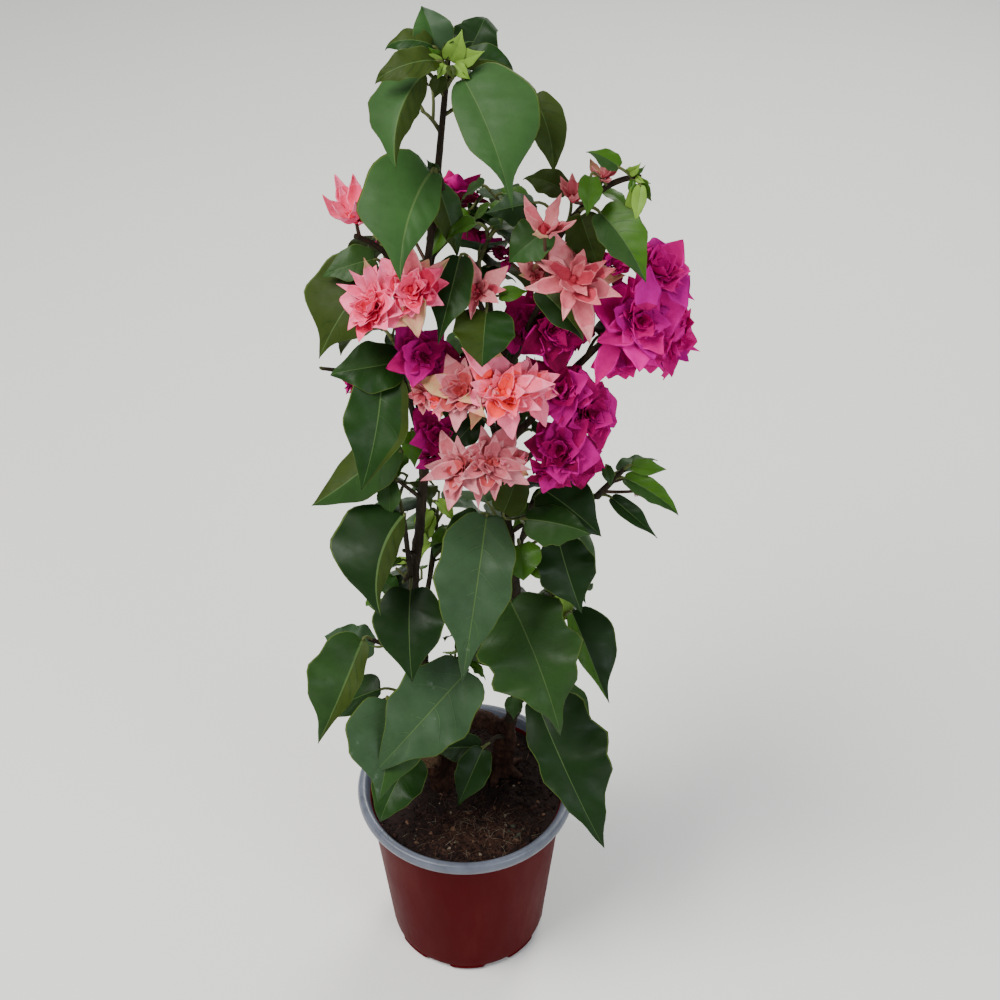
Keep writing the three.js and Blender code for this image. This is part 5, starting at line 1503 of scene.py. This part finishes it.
class BUSH_OT_soil(bpy.types.Operator):
    """Builds the rough peat with its bark bits and coir fibres"""
    bl_idname = "bush.soil"
    bl_label = "Soil"

    def execute(self, context):
        settings = context.scene.bush_soil
        peat = peat_finish("peat", settings.colour)
        gathered = Gathered()
        self.add_ground(gathered)
        dry_peat = peat_finish("dry_peat", (0.036, 0.015, 0.01))
        seat(gathered.make("soil_ground", [peat, dry_peat]), "soil", "soil")
        bits = Gathered()
        roll = dice(SOIL_BIT_SEED)
        for _ in range(settings.clumps):
            self.add_clump(bits, roll)
        for x, y, size, kind in PEBBLES:
            self.add_lump(bits, np.array([x, y, SOIL_TOP + soil_height(x, y)]), size, kind, roll)
        for _ in range(settings.fibres):
            self.add_fibre(bits, roll)
        finishes = [peat_finish(name, colour) for name, colour in BIT_COLOURS.items()]
        seat(bits.make("soil_bits", [peat, *finishes]), "soil", "soil")
        return {"FINISHED"}

    def add_ground(self, gathered):
        """One closed body: the flat underside, the side against the pot and the rough top, dry in places."""
        corner = CORNER_RADIUS - WALL
        side = [(corner - 5, SOIL_FOOT), (corner - 1.2, 13), (SOIL_RADIUS, SOIL_TOP - 9)]
        top = [(SOIL_RADIUS * ring / SOIL_RING_COUNT, SOIL_TOP) for ring in range(SOIL_RING_COUNT, 0, -1)]

        def roughen(points, angles):
            for point in points[len(side):].reshape(-1, 3):
                point[2] += soil_height(*point[:2])
            return points

        outline = [(0, SOIL_FOOT), *side, *top, (0, SOIL_TOP + soil_height(0, 0))]
        lathe(gathered, outline, SOIL_SIDE_COUNT, 0, roughen)
        roll = dice(GROUND_SEED)
        centres = gathered.points[0][gathered.faces[0]].mean(axis=1)
        gathered.kinds[0] = np.array([int(dry_share(centre) > 0.25 + 0.5 * next(roll)) for centre in centres])

    def place(self, roll):
        """A seeded place on the peat."""
        angle = 2 * math.pi * next(roll)
        radius = (SOIL_RADIUS - 2.5) * math.sqrt(next(roll))
        x, y = radius * math.sin(angle), -radius * math.cos(angle)
        return np.array([x, y, SOIL_TOP + soil_height(x, y)])

    def add_clump(self, gathered, roll):
        """A crumb at a seeded place."""
        centre = self.place(roll)
        size = 0.4 + 1.8 * next(roll) ** 2.8
        dryness = dry_share(centre)
        pick = next(roll)
        kind = TAN if pick < 0.01 + 0.1 * dryness else BARK if pick < 0.2 + 0.6 * dryness else PEAT
        if pick > 0.997 - 0.03 * dryness:
            kind = PALE_BIT
        self.add_lump(gathered, centre, size, kind, roll)

    def add_lump(self, gathered, centre, size, kind, roll):
        """An eight-sided lump with each corner pushed in or out."""
        corners = []
        for x, y, z in OCTAHEDRON:
            reach = size * (0.65 + 0.7 * next(roll))
            corners.append((x * reach * (0.8 + next(roll)), y * reach, z * reach * 0.7))
        turn = 2 * math.pi * next(roll)
        sine, cosine = math.sin(turn), math.cos(turn)
        spin = np.array([[cosine, -sine, 0], [sine, cosine, 0], [0, 0, 1]])
        points = centre + np.array(corners) @ spin.T + UP * size * 0.2
        gathered.add(points, [OCTAHEDRON_FACES], [np.full(8, kind)])

    def add_fibre(self, gathered, roll):
        """A coir fibre: a thin bent thread that lies on the peat."""
        start = self.place(roll)
        dryness = dry_share(start)
        if next(roll) > 0.2 + 1.2 * dryness:
            return
        length = 3 + 10 * next(roll)
        way = heading(360 * next(roll), 26 * next(roll) - 6)
        aside = np.cross(way, UP) * length * 0.5 * (next(roll) - 0.5)
        middle = start + way * length / 2 + aside + UP * (0.6 + 1.6 * next(roll))
        curve = bent_curve(start, middle, start + way * length)
        if np.hypot(*curve.point(1)[:2]) > SOIL_RADIUS - 2:
            return
        size = 0.1 + 0.15 * next(roll)
        pick = next(roll)
        kind = PALE_BIT if pick < 0.22 * dryness else TAN if pick < 0.08 + 0.6 * dryness else BARK
        gathered.add_tube(tube_points(curve, (size, size * 0.5), 3, 5), 3, kind)


def dry_share(place):
    """How dry and fibrous the top is at a place: most in the middle of the front."""
    away = math.hypot((place[0] - 8) / 40, (place[1] + 42) / 26)
    return math.exp(-away**2)


# A crumb's six corners before they are pushed in or out, and its faces
OCTAHEDRON = [(1, 0, 0), (0, 1, 0), (-1, 0, 0), (0, -1, 0), (0, 0, 1), (0, 0, -1)]
OCTAHEDRON_FACES = np.array(
    [(0, 1, 4), (1, 2, 4), (2, 3, 4), (3, 0, 4), (1, 0, 5), (2, 1, 5), (3, 2, 5), (0, 3, 5)]
)


# Hollows in the old wood: each one's place, radius and depth
CAVITIES = [(-31, -4, 184, 3.6, 5), (-23, -5, 182, 3, 4.5), (-28, -6, 176, 2.6, 3.5), (4, 15, 205, 3, 2.6)]


class BUSH_OT_wood(bpy.types.Operator):
    """Builds the old woody base, the two stems and the three boughs in bark relief"""
    bl_idname = "bush.wood"
    bl_label = "Wood"

    def execute(self, context):
        settings = context.scene.bush_wood
        colour = tuple(settings.bark_colour)
        old_bark = bark_finish("old_bark", (0.006, 0.003, 0.002), (0.075, 0.03, 0.018), (4, 4, 2))
        cut_wood = bark_finish("cut_wood", (0.03, 0.015, 0.008), (0.17, 0.1, 0.055), (4, 4, 2))
        stem_bark = bark_finish("stem_bark", shade(colour, 0.45), shade(colour, 1.7))
        self.add_base(settings, [old_bark, cut_wood])
        plant = bush()
        for name, limb in LIMBS.items():
            curve = plant.limbs[name]
            steps = int(curve.lengths[-1] / BARK_STEP)
            low, high = limb.path[0][2], limb.path[-1][2]
            knots = [mass.start for mass in MASSES if mass.limb == name and mass.start < high]
            knots += range(low + 18, high, 31)
            relief = bark_relief(settings.relief, len(name), knots, 0.16)
            gathered = Gathered()
            foot, tip = limb.radius
            points = tube_points(curve, (foot, tip * 0.94), BARK_SIDES, steps, 0, relief)
            gathered.add_tube(points, BARK_SIDES, 0)
            seat(gathered.make(f"{name}_bark", [stem_bark]), "bark", name)
        return {"FINISHED"}

    def add_base(self, settings, finishes):
        """The base's limbs, root flares and knob, fused to one skin, roughened and hollowed."""
        gathered = Gathered()
        for limb in WOODY_LIMBS:
            curve = smooth_curve(limb.path)
            gathered.add_tube(tube_points(curve, limb.radius, 20, int(curve.lengths[-1] / 3)), 20, 0)
        foot = np.array([27, 24, SOIL_TOP + 3])
        for bearing, reach in ROOT_FLARES:
            run = heading(bearing, -14) * reach
            gathered.add_tube(tube_points(twig_curve(foot, run, 0.5), ROOT_RADIUS, 12, 12), 12, 0)
        angles = np.linspace(0, math.pi, 9)[1:-1]
        knob = [(0, -1), *[(math.sin(a), -math.cos(a)) for a in angles], (0, 1)]
        burl = Gathered()
        lathe(burl, knob, 14, 0)
        shape = burl.points[0] * KNOB_RADIUS * np.array(KNOB_SCALE) + np.array(KNOB_CENTRE)
        gathered.add(shape, burl.faces, burl.kinds)
        piece = gathered.make("woody_base_bark", [])
        fuse(piece, settings.fuse_size)
        mesh = piece.data
        for finish in finishes:
            mesh.materials.append(finish)
        points = np.zeros(len(mesh.vertices) * 3)
        normals = np.zeros(len(mesh.vertices) * 3)
        mesh.vertices.foreach_get("co", points)
        mesh.vertices.foreach_get("normal", normals)
        points, normals = points.reshape(-1, 3) / MM, normals.reshape(-1, 3)
        push = np.array([old_bark_height(Vector(p)) for p in points])
        for x, y, z, radius, depth in CAVITIES:
            away = np.linalg.norm(points - (x, y, z), axis=1) / radius
            push -= depth * np.exp(-away**2)
        mesh.vertices.foreach_set("co", ((points + normals * push[:, None]) * MM).ravel())
        cut = np.array(WOODY_LIMBS[2].path[-1], float)
        centres = np.array([face.center for face in mesh.polygons]) / MM
        kinds = (np.linalg.norm(centres - cut, axis=1) < 10) & (centres[:, 2] > cut[2] - 6)
        mesh.polygons.foreach_set("material_index", kinds.astype(int))
        mesh.polygons.foreach_set("use_smooth", np.ones(len(kinds), bool))
        mesh.update()
        seat(piece, "bark", "woody_base")


def old_bark_height(place):
    """How far the old bark stands out at a place: burls, plates and cracks."""
    burls = 1.5 * noise.noise(place * 0.09)
    plates = 0.9 * noise.noise(place * 0.28)
    grain = noise.noise(Vector((place.x * 0.3, place.y * 0.3, place.z * 0.12)))
    cracks = -2.2 * max(0, 0.35 - abs(grain))
    return burls + plates + cracks + 0.35 * noise.noise(place * 0.9) + 0.3


def fuse(piece, grain):
    """Joins a piece's overlapping forms into one skin."""
    modifier = piece.modifiers.new("fuse", "REMESH")
    modifier.mode = "VOXEL"
    modifier.voxel_size = grain
    view = bpy.context.evaluated_depsgraph_get()
    fused = bpy.data.meshes.new_from_object(piece.evaluated_get(view))
    piece.modifiers.clear()
    old = piece.data
    piece.data = fused
    bpy.data.meshes.remove(old)
    fused.name = piece.name


class BUSH_OT_twigs(bpy.types.Operator):
    """Builds the masses' own stems, their side twigs, the spurs and the stalks"""
    bl_idname = "bush.twigs"
    bl_label = "Twigs"

    def execute(self, context):
        colour = tuple(context.scene.bush_wood.bark_colour)
        plant = bush()
        twigs = Gathered()
        for name, curve in plant.stems.items():
            steps = max(8, int(curve.lengths[-1] / 3))
            relief = bark_relief(0.1, len(name))
            twigs.add_tube(tube_points(curve, FINE_STEM_RADIUS, 9, steps, 0.6, relief), 9, 0)
        for _, curve in plant.twigs:
            twigs.add_tube(tube_points(curve, FINE_TWIG_RADIUS, 7, 8, 0.3), 7, 1)
        for curve in plant.fine_twigs:
            twigs.add_tube(tube_points(curve, FINEST_TWIG_RADIUS, 6, 5, 0.3), 6, 1)
        for root, tip, radius in SPURS:
            root, tip = np.array(root, float), np.array(tip, float)
            curve = twig_curve(root, tip - root, 0.5)
            relief = bark_relief(0.2, radius)
            twigs.add_tube(tube_points(curve, (radius * 1.3, radius * 0.75), 8, 7, 0.5, relief), 8, 0)
            twigs.add_tube(bud_points(tip, unit(tip - root), radius), 8, 2)
        green_twig = bark_finish("green_twig", (0.03, 0.035, 0.012), (0.09, 0.1, 0.035), (6, 6, 2))
        brown_twig = bark_finish("brown_twig", shade(colour, 0.5), shade(colour, 1.5), (6, 6, 2))
        bud_skin = bark_finish("bud_skin", (0.03, 0.03, 0.012), (0.08, 0.11, 0.03), (3, 3, 3))
        seat(twigs.make("twigs", [brown_twig, green_twig, bud_skin]), "bark")
        stalks = Gathered()
        for leaf in plant.leaves:
            axes = leaf["axes"]
            bend = axes.base - 0.4 * leaf["stalk"] * axes.along
            curve = bent_curve(leaf["root"], bend, axes.base + axes.along * 0.8)
            size = min(1, 0.5 + leaf["length"] / 120)
            stalks.add_tube(tube_points(curve, (0.85 * size, 0.6 * size), 7, 8, 0.4), 7, 0)
        for bloom in plant.blooms:
            centre = bloom["centre"] + BLOOM_CHANGES.get(bloom["seed"], {}).get("shift", (0, 0, 0))
            curve = twig_curve(bloom["root"], centre - bloom["root"], -0.5)
            stalks.add_tube(tube_points(curve, (0.85, 0.55), 7, 8, 0.4), 7, 1)
        leaf_stalk = leaf_finish("leaf_stalk", (0.075, 0.09, 0.025), 0.5)
        bloom_stalk = leaf_finish("bloom_stalk", (0.06, 0.03, 0.018), 0.55)
        seat(stalks.make("stalks", [leaf_stalk, bloom_stalk]), "leaf_green")
        return {"FINISHED"}


def bud_points(place, way, radius):
    """Rings of a pointed bud that starts at a place and runs one way."""
    curve = bent_curve(place, place + way * radius * 1.5, place + way * radius * 3.2 + UP * radius)
    rings = tube_points(curve, (1, 1), 8, 6).reshape(7, 8, 3)
    swell = radius * np.array([0.7, 1.25, 1.45, 1.3, 0.95, 0.5, 0.08])
    centres = rings.mean(axis=1, keepdims=True)
    return (centres + (rings - centres) * swell[:, None, None]).reshape(-1, 3)


def leaf_finishes(settings):
    """The leaf skins, in the order of the tones, several of them darkened and lightened to paint shade and
    light.
    """
    return [leaf_finish("leaf_" + name, *skin) for name, *skin in (
        ("deep", settings.deep, 0.42),
        ("mid", (0.018, 0.05, 0.009), 0.46),
        ("pale", settings.pale, 0.5),
        ("fresh", (0.034, 0.095, 0.006), 0.42),
        ("young", settings.young, 0.5),
        ("olive", (0.024, 0.042, 0.003), 0.6),
        ("rib", (0.055, 0.1, 0.027), 0.55),
        # The edge's pale green paints a highlight along the margins
        ("edge", (0.055, 0.09, 0.014), 0.55),
        ("dusty", (0.025, 0.056, 0.022), 0.5, (0.1, 0.13, 0.1)),
        ("shaded", (0.0052, 0.021, 0.0024), 0.45),
        ("vein", (0.042, 0.09, 0.03), 0.5),
    )]


def leaf_tones(leaf, roll):
    """The tones of a leaf's left and right half: its own, or dealt out by its mass and size, so that paler
    tones paint the light on the crown and darker ones the shade lower down.
    """
    pick = next(roll)
    if "tones" in leaf:
        return leaf["tones"]
    if leaf["length"] < 26:
        tone = FRESH if pick < 0.5 else YOUNG if pick < 0.7 else MID
    else:
        tone = MASS_TONES.get(leaf["mass"], COMMON_TONES)[int(3 * pick)]
    return tone, tone


LEFT_MASSES = ["sprig", *[mass.name for mass in MASSES if mass.limb == "left_stem"]]


class BUSH_OT_leaves(bpy.types.Operator):
    """Builds every leaf with its rib, veins and a pale edge that paints a highlight along the margin"""
    bl_idname = "bush.leaves"
    bl_label = "Leaves"

    def execute(self, context):
        finishes = leaf_finishes(context.scene.bush_leaf)
        plant = bush()
        sides = {True: Gathered(), False: Gathered()}
        for number, leaf in enumerate([*plant.leaves, *plant.sprigs]):
            roll = dice(LEAF_SEED + number)
            habit = leaf_habit(leaf, roll)
            add_fine_leaf(sides[leaf["mass"] in LEFT_MASSES], leaf, habit, leaf_tones(leaf, roll))
        leafy = [mass.name for mass in MASSES if mass.colour == "leaf"]
        for left, gathered in sides.items():
            nodes = [name for name in leafy if (name in LEFT_MASSES) == left]
            seat(gathered.make("left_leaves" if left else "right_leaves", finishes), "leaf_green", *nodes)
        return {"FINISHED"}


# How much longer than the solids' own a colour's bracts are, and their width as a share of the length
BRACT_SHAPES = {"pink": (1.2, 0.7), "coral": (1.25, 0.62), "magenta": (1.25, 0.92)}

# Tones of a bract: its body, its heart at the foot, its paler margin and its tip
BODY, HEART, MARGIN, TIP = range(4)


def bract_habit(shape, length, share, roll):
    """How a bract arches, folds and crumples: the outer ones bend back, the inner ones are cupped."""
    longer, width = shape
    outer = 1 - share
    return {
        "length": length * longer,
        "width": width * (0.88 + 0.26 * next(roll)),
        "taper": (0.64, 0.84), "least": 0.2,
        "arch": 100 * outer - 62 + 44 * (next(roll) - 0.5),
        "hook": 70 * (next(roll) - 0.35) * outer,
        "sway": 20 * (next(roll) - 0.5),
        "fold": 12 + 24 * next(roll),
        "curl": 0.2 * (next(roll) - 0.3),
        "ripple": 0.1 + 0.15 * next(roll),
        "waves": 1.3 + 1.7 * next(roll),
        "phase": (6.3 * next(roll), 6.3 * next(roll)),
        "wobble": 0.07, "twist": 40 * (next(roll) - 0.5), "drip": 0.35, "quilt": 0.0,
        "left": 1, "right": 1, "shoulder": 0,
    }


def add_fine_bract(gathered, axes, habit, tones):
    """One bract: a closed thin blade, deeper in colour at its foot, where on magenta blooms the darker tone
    paints the shade in the bloom's heart, and paler at its margin and tip.
    """
    columns = len(BRACT_COLUMNS)
    rows = blade_rows(BRACT_ROW_COUNT)
    across, t = np.meshgrid(BRACT_COLUMNS, rows)
    middle, outward, _ = blade_surface(axes, habit, t, across)
    crease = 0.22 * np.exp(-((across / 0.25) ** 2))[..., None]
    thick = 0.13 * (1 - across**4)[..., None]
    upper = middle + outward * (thick - crease)
    lower = middle - outward * (thick + crease)
    faces, marks = blade_net(BRACT_ROW_COUNT, columns)
    column, share = marks[:, 0], rows[marks[:, 2]]
    kinds = np.full(len(faces), tones[BODY])
    kinds = np.where((share > 0.25) & ((column == 0) | (column == columns - 2)), tones[MARGIN], kinds)
    kinds = np.where(share > 0.66, tones[TIP], kinds)
    kinds = np.where(share < 0.16, tones[HEART], kinds)
    gathered.add(np.vstack([upper.reshape(-1, 3), lower[:, 1:-1].reshape(-1, 3)]), [faces], [kinds])


def bract_tones(colour, muted, outer, pick):
    """The finishes of a bract's body, heart, margin and tip, by its bloom and place in the bloom. Muted
    blooms take the tones that paint shade, and a magenta heart takes a darkened tone that paints the shade at
    the bloom's middle.
    """
    if colour == "magenta":
        if muted:
            body = 4 if pick < 0.55 else 5 if pick < 0.8 else 1
            return (body, 1, body if pick < 0.3 else 5, body)
        body = 0 if pick < 0.5 else 2 if pick < 0.8 else 3
        return (body, 4, 2 if pick < 0.6 else body, body)
    body, light, heart = (4, 5, 6) if muted else (0, 2, 1)
    if not outer:
        return (body, heart, body, light) if pick < 0.5 else (heart, heart, body, body)
    if pick < 0.07:
        return (3, body, 3, 3)
    if pick < 0.15:
        return (light, body, light, 3)
    return (light, heart, light, light) if pick < 0.5 else (body, heart, light, light)


def bract_finishes(settings):
    """Each colour's finishes. The first four are its body, heart, light and speckled or violet tone; the rest
    are duller tones that paint the shade on the muted blooms.
    """
    magenta = settings.magenta
    skins = {
        "pink": [
            ("pink_bract", (0.9, 0.11, 0.24), settings.pink),
            ("pink_heart", (0.75, 0.032, 0.1), (0.54, 0.016, 0.065)),
            ("pink_light", (0.93, 0.22, 0.36), (0.88, 0.13, 0.26)),
            ("pink_speckled", (0.45, 0.38, 0.17), (0.62, 0.14, 0.17)),
            # Duller pinks that paint the shade on the muted blooms
            ("dusty_bract", (0.64, 0.165, 0.19), (0.54, 0.095, 0.13)),
            ("dusty_light", (0.74, 0.28, 0.29), (0.64, 0.165, 0.19)),
            ("dusty_heart", (0.5, 0.055, 0.085), (0.37, 0.034, 0.06)),
        ],
        "coral": [
            ("coral_bract", (0.95, 0.16, 0.26), settings.coral),
            ("coral_heart", (0.9, 0.07, 0.06), (0.78, 0.035, 0.045)),
            ("coral_light", (0.95, 0.26, 0.38), (0.9, 0.16, 0.27)),
            ("coral_speckled", (0.5, 0.42, 0.18), (0.66, 0.2, 0.15)),
            # Duller corals that paint the shade on the muted blooms
            ("rose_bract", (0.56, 0.16, 0.19), (0.48, 0.095, 0.12)),
            ("rose_light", (0.64, 0.27, 0.29), (0.56, 0.17, 0.2)),
            ("rose_heart", (0.5, 0.08, 0.085), (0.38, 0.04, 0.05)),
        ],
        "magenta": [
            ("magenta_bract", magenta, shade(magenta, 0.8), 0.75),
            # A darkened magenta that paints the shade in a bloom's heart and on some shaded bracts
            ("magenta_heart", (0.22, 0.0003, 0.05), (0.12, 0.0003, 0.027), 0.75),
            ("magenta_light", (0.7, 0.001, 0.29), (0.6, 0.0005, 0.22), 0.75),
            ("magenta_violet", (0.46, 0.0005, 0.24), (0.4, 0.0004, 0.18), 0.75),
            # Darker magentas that paint the shade on the muted blooms and in the bright blooms' hearts
            ("magenta_deep", (0.4, 0.0003, 0.12), (0.28, 0.0003, 0.075), 0.75),
            ("magenta_dark_light", (0.52, 0.0006, 0.22), (0.42, 0.0004, 0.16), 0.75),
        ],
    }
    return {colour: [bract_finish(*skin) for skin in rows] for colour, rows in skins.items()}


class BUSH_OT_blossom(bpy.types.Operator):
    """Builds the double blooms, each colour as one piece"""
    bl_idname = "bush.blossom"
    bl_label = "Blossom"

    def execute(self, context):
        finishes = bract_finishes(context.scene.bush_blossom)
        gathered = {colour: Gathered() for colour in finishes}
        for bloom in bush().blooms:
            bloom = {**bloom, **BLOOM_CHANGES.get(bloom["seed"], {})}
            # The few blooms of a foliage mass are magenta
            if bloom["colour"] == "leaf":
                bloom["colour"] = "magenta"
            self.add_bloom(gathered[bloom["colour"]], bloom)
        roll = dice(LONG_BRACT_SEED)
        for colour, muted, foot, tip, width in LONG_BRACTS:
            foot, tip = np.array(foot, float), np.array(tip, float)
            axes = BladeFrame(foot, unit(tip - foot), heading(0, 40), 0)
            habit = bract_habit((1, width), np.linalg.norm(tip - foot), 0.5, roll)
            habit["taper"] = (0.68, 1)
            add_fine_bract(gathered[colour], axes, habit, bract_tones(colour, muted, True, next(roll)))
        for colour, skins in finishes.items():
            nodes = [mass.name for mass in MASSES if mass.colour == colour]
            seat(gathered[colour].make(f"{colour}_bracts", skins), f"{colour}_bract", *nodes)
        return {"FINISHED"}

    def add_bloom(self, gathered, bloom):
        """A double bloom: the bracts that have found room, and the crowded ones round its middle."""
        roll = dice(bloom["seed"] + BRACT_SEED)
        colour = bloom["colour"]
        shape = bloom.get("shape", BRACT_SHAPES[colour])
        muted = bloom.get("muted", bloom["mass"] in MUTED_MASSES)
        centre = bloom["centre"] + np.array(bloom.get("shift", (0, 0, 0)))
        radius = bloom["radius"]
        face, bearing, bracts = bloom["face"], bloom["bearing"], bloom["bracts"]
        if "lean" in bloom:
            face, bearing = heading(*bloom["lean"]), bloom["lean"][0]
            low, high = bloom["open"]
            bracts = []
            for i in range(bloom["count"]):
                share = low + (high - low) * (i + 0.5) / bloom["count"]
                length, axes = bract_axes(centre, face, bearing, share, i, radius, roll)
                bracts.append({"axes": axes, "length": length, "share": share, "outer": True})
        for bract in bracts:
            habit = bract_habit(shape, bract["length"] * (0.85 + 0.3 * next(roll)), bract["share"], roll)
            tones = bract_tones(colour, muted, bract["outer"], next(roll))
            add_fine_bract(gathered, bract["axes"], habit, tones)
        count = bloom.get("inner", 14 if radius > 18 else 8)
        for i in range(count):
            share = 0.35 + 0.65 * (i + 0.5) / count
            size = radius * (1 - 0.35 * share) * (0.85 + 0.3 * next(roll))
            length, axes = bract_axes(centre, face, bearing, share, i, size, roll)
            habit = bract_habit(shape, length, share, roll)
            add_fine_bract(gathered, axes, habit, bract_tones(colour, muted, False, next(roll)))
        # The bud in the middle takes a heart tone, which on magenta and on muted blooms paints the shade
        # there
        heart = 6 if muted and colour != "magenta" else 1
        gathered.add_tube(bud_points(centre - face * 0.5, face, radius * 0.06), 8, heart)


# The floor and the camera: its place in metres, its dip in degrees, its lens in millimetres
FLOOR_REACH = 12
CAMERA_PLACE = (0.0266, -0.780, 1.068)
CAMERA_DIP = 38.7
CAMERA_LENS = 54
CAMERA_SENSOR = 36


class BUSH_OT_stage(bpy.types.Operator):
    """Sets the floor, the soft lights and the camera"""
    bl_idname = "bush.stage"
    bl_label = "Stage"

    def execute(self, context):
        settings = context.scene.bush_stage
        scene = context.scene
        mesh = bpy.data.meshes.new("floor")
        corners = [(x * FLOOR_REACH, y * FLOOR_REACH, 0) for x, y in ((-1, -1), (1, -1), (1, 1), (-1, 1))]
        mesh.from_pydata(corners, [], [(0, 1, 2, 3)])
        floor = bpy.data.objects.new("floor", mesh)
        scene.collection.objects.link(floor)
        stops = [(0.3, shade(settings.floor_colour, 0.985)), (0.7, settings.floor_colour)]
        mesh.materials.append(finish("pale_floor", 0.7, 0.5, (3, 3, 0.55), stops))
        world = bpy.data.worlds.new("soft_sky")
        world.use_nodes = True
        sky = world.node_tree.nodes["Background"]
        sky.inputs["Color"].default_value = (0.94, 0.97, 1, 1)
        sky.inputs["Strength"].default_value = 0.4
        scene.world = world
        self.add_light("key", (-1.3, -0.7, 2.5), (0, 0, 0.4), 1.6, settings.key_power, (1, 0.98, 0.94))
        self.add_light("fill", (1.5, -1.6, 1.4), (0, 0, 0.4), 1.4, settings.fill_power, (0.9, 0.95, 1))
        self.add_light("back", (0.8, 1.9, 2.0), (0, 0, 0.5), 1.2, settings.back_power, (1, 1, 0.92))
        camera = bpy.data.objects.new("camera", bpy.data.cameras.new("camera"))
        scene.collection.objects.link(camera)
        camera.location = CAMERA_PLACE
        camera.rotation_euler = (math.radians(90 - CAMERA_DIP), 0, 0)
        camera.data.lens = CAMERA_LENS
        camera.data.sensor_width = CAMERA_SENSOR
        scene.camera = camera
        return {"FINISHED"}

    def add_light(self, name, place, aim, size, power, colour):
        """A round soft light at a place, turned to what it aims at."""
        data = bpy.data.lights.new(name, "AREA")
        data.shape = "DISK"
        data.size = size
        data.energy = power
        data.color = colour
        light = bpy.data.objects.new(name, data)
        light.location = place
        light.rotation_euler = (Vector(aim) - Vector(place)).to_track_quat("-Z", "Y").to_euler()
        bpy.context.scene.collection.objects.link(light)


class BUSH_PT_panel(bpy.types.Panel):
    """Lists the pieces in the sidebar"""
    bl_idname = "BUSH_PT_panel"
    bl_label = "Bougainvillea bush"
    bl_space_type = "VIEW_3D"
    bl_region_type = "UI"
    bl_category = "Bush"

    def draw(self, context):
        for group, operator in SECTIONS:
            box = self.layout.box()
            settings = getattr(context.scene, group)
            for prop in settings.bl_rna.properties:
                if prop.identifier not in ("name", "rna_type"):
                    box.prop(settings, prop.identifier)
            box.operator(operator)


SECTIONS = [
    ("bush_stage", "bush.stage"),
    ("bush_pot", "bush.pot"),
    ("bush_soil", "bush.soil"),
    ("bush_wood", "bush.wood"),
    ("bush_wood", "bush.twigs"),
    ("bush_leaf", "bush.leaves"),
    ("bush_blossom", "bush.blossom"),
]
GROUPS = {
    "bush_pot": PotSettings,
    "bush_soil": SoilSettings,
    "bush_wood": WoodSettings,
    "bush_leaf": LeafSettings,
    "bush_blossom": BlossomSettings,
    "bush_stage": StageSettings,
}
CLASSES = [*GROUPS.values(), BUSH_OT_pot, BUSH_OT_soil, BUSH_OT_wood, BUSH_OT_twigs, BUSH_OT_leaves,
    BUSH_OT_blossom, BUSH_OT_stage, BUSH_PT_panel]


def register():
    for cls in CLASSES:
        bpy.utils.register_class(cls)
    for name, group in GROUPS.items():
        setattr(bpy.types.Scene, name, PointerProperty(type=group))


def unregister():
    for name in GROUPS:
        delattr(bpy.types.Scene, name)
    for cls in reversed(CLASSES):
        bpy.utils.unregister_class(cls)


def main():
    register()
    bpy.ops.bush.stage()
    bpy.ops.bush.pot()
    bpy.ops.bush.soil()
    bpy.ops.bush.wood()
    bpy.ops.bush.twigs()
    bpy.ops.bush.leaves()
    bpy.ops.bush.blossom()


if __name__ == "__main__":
    main()
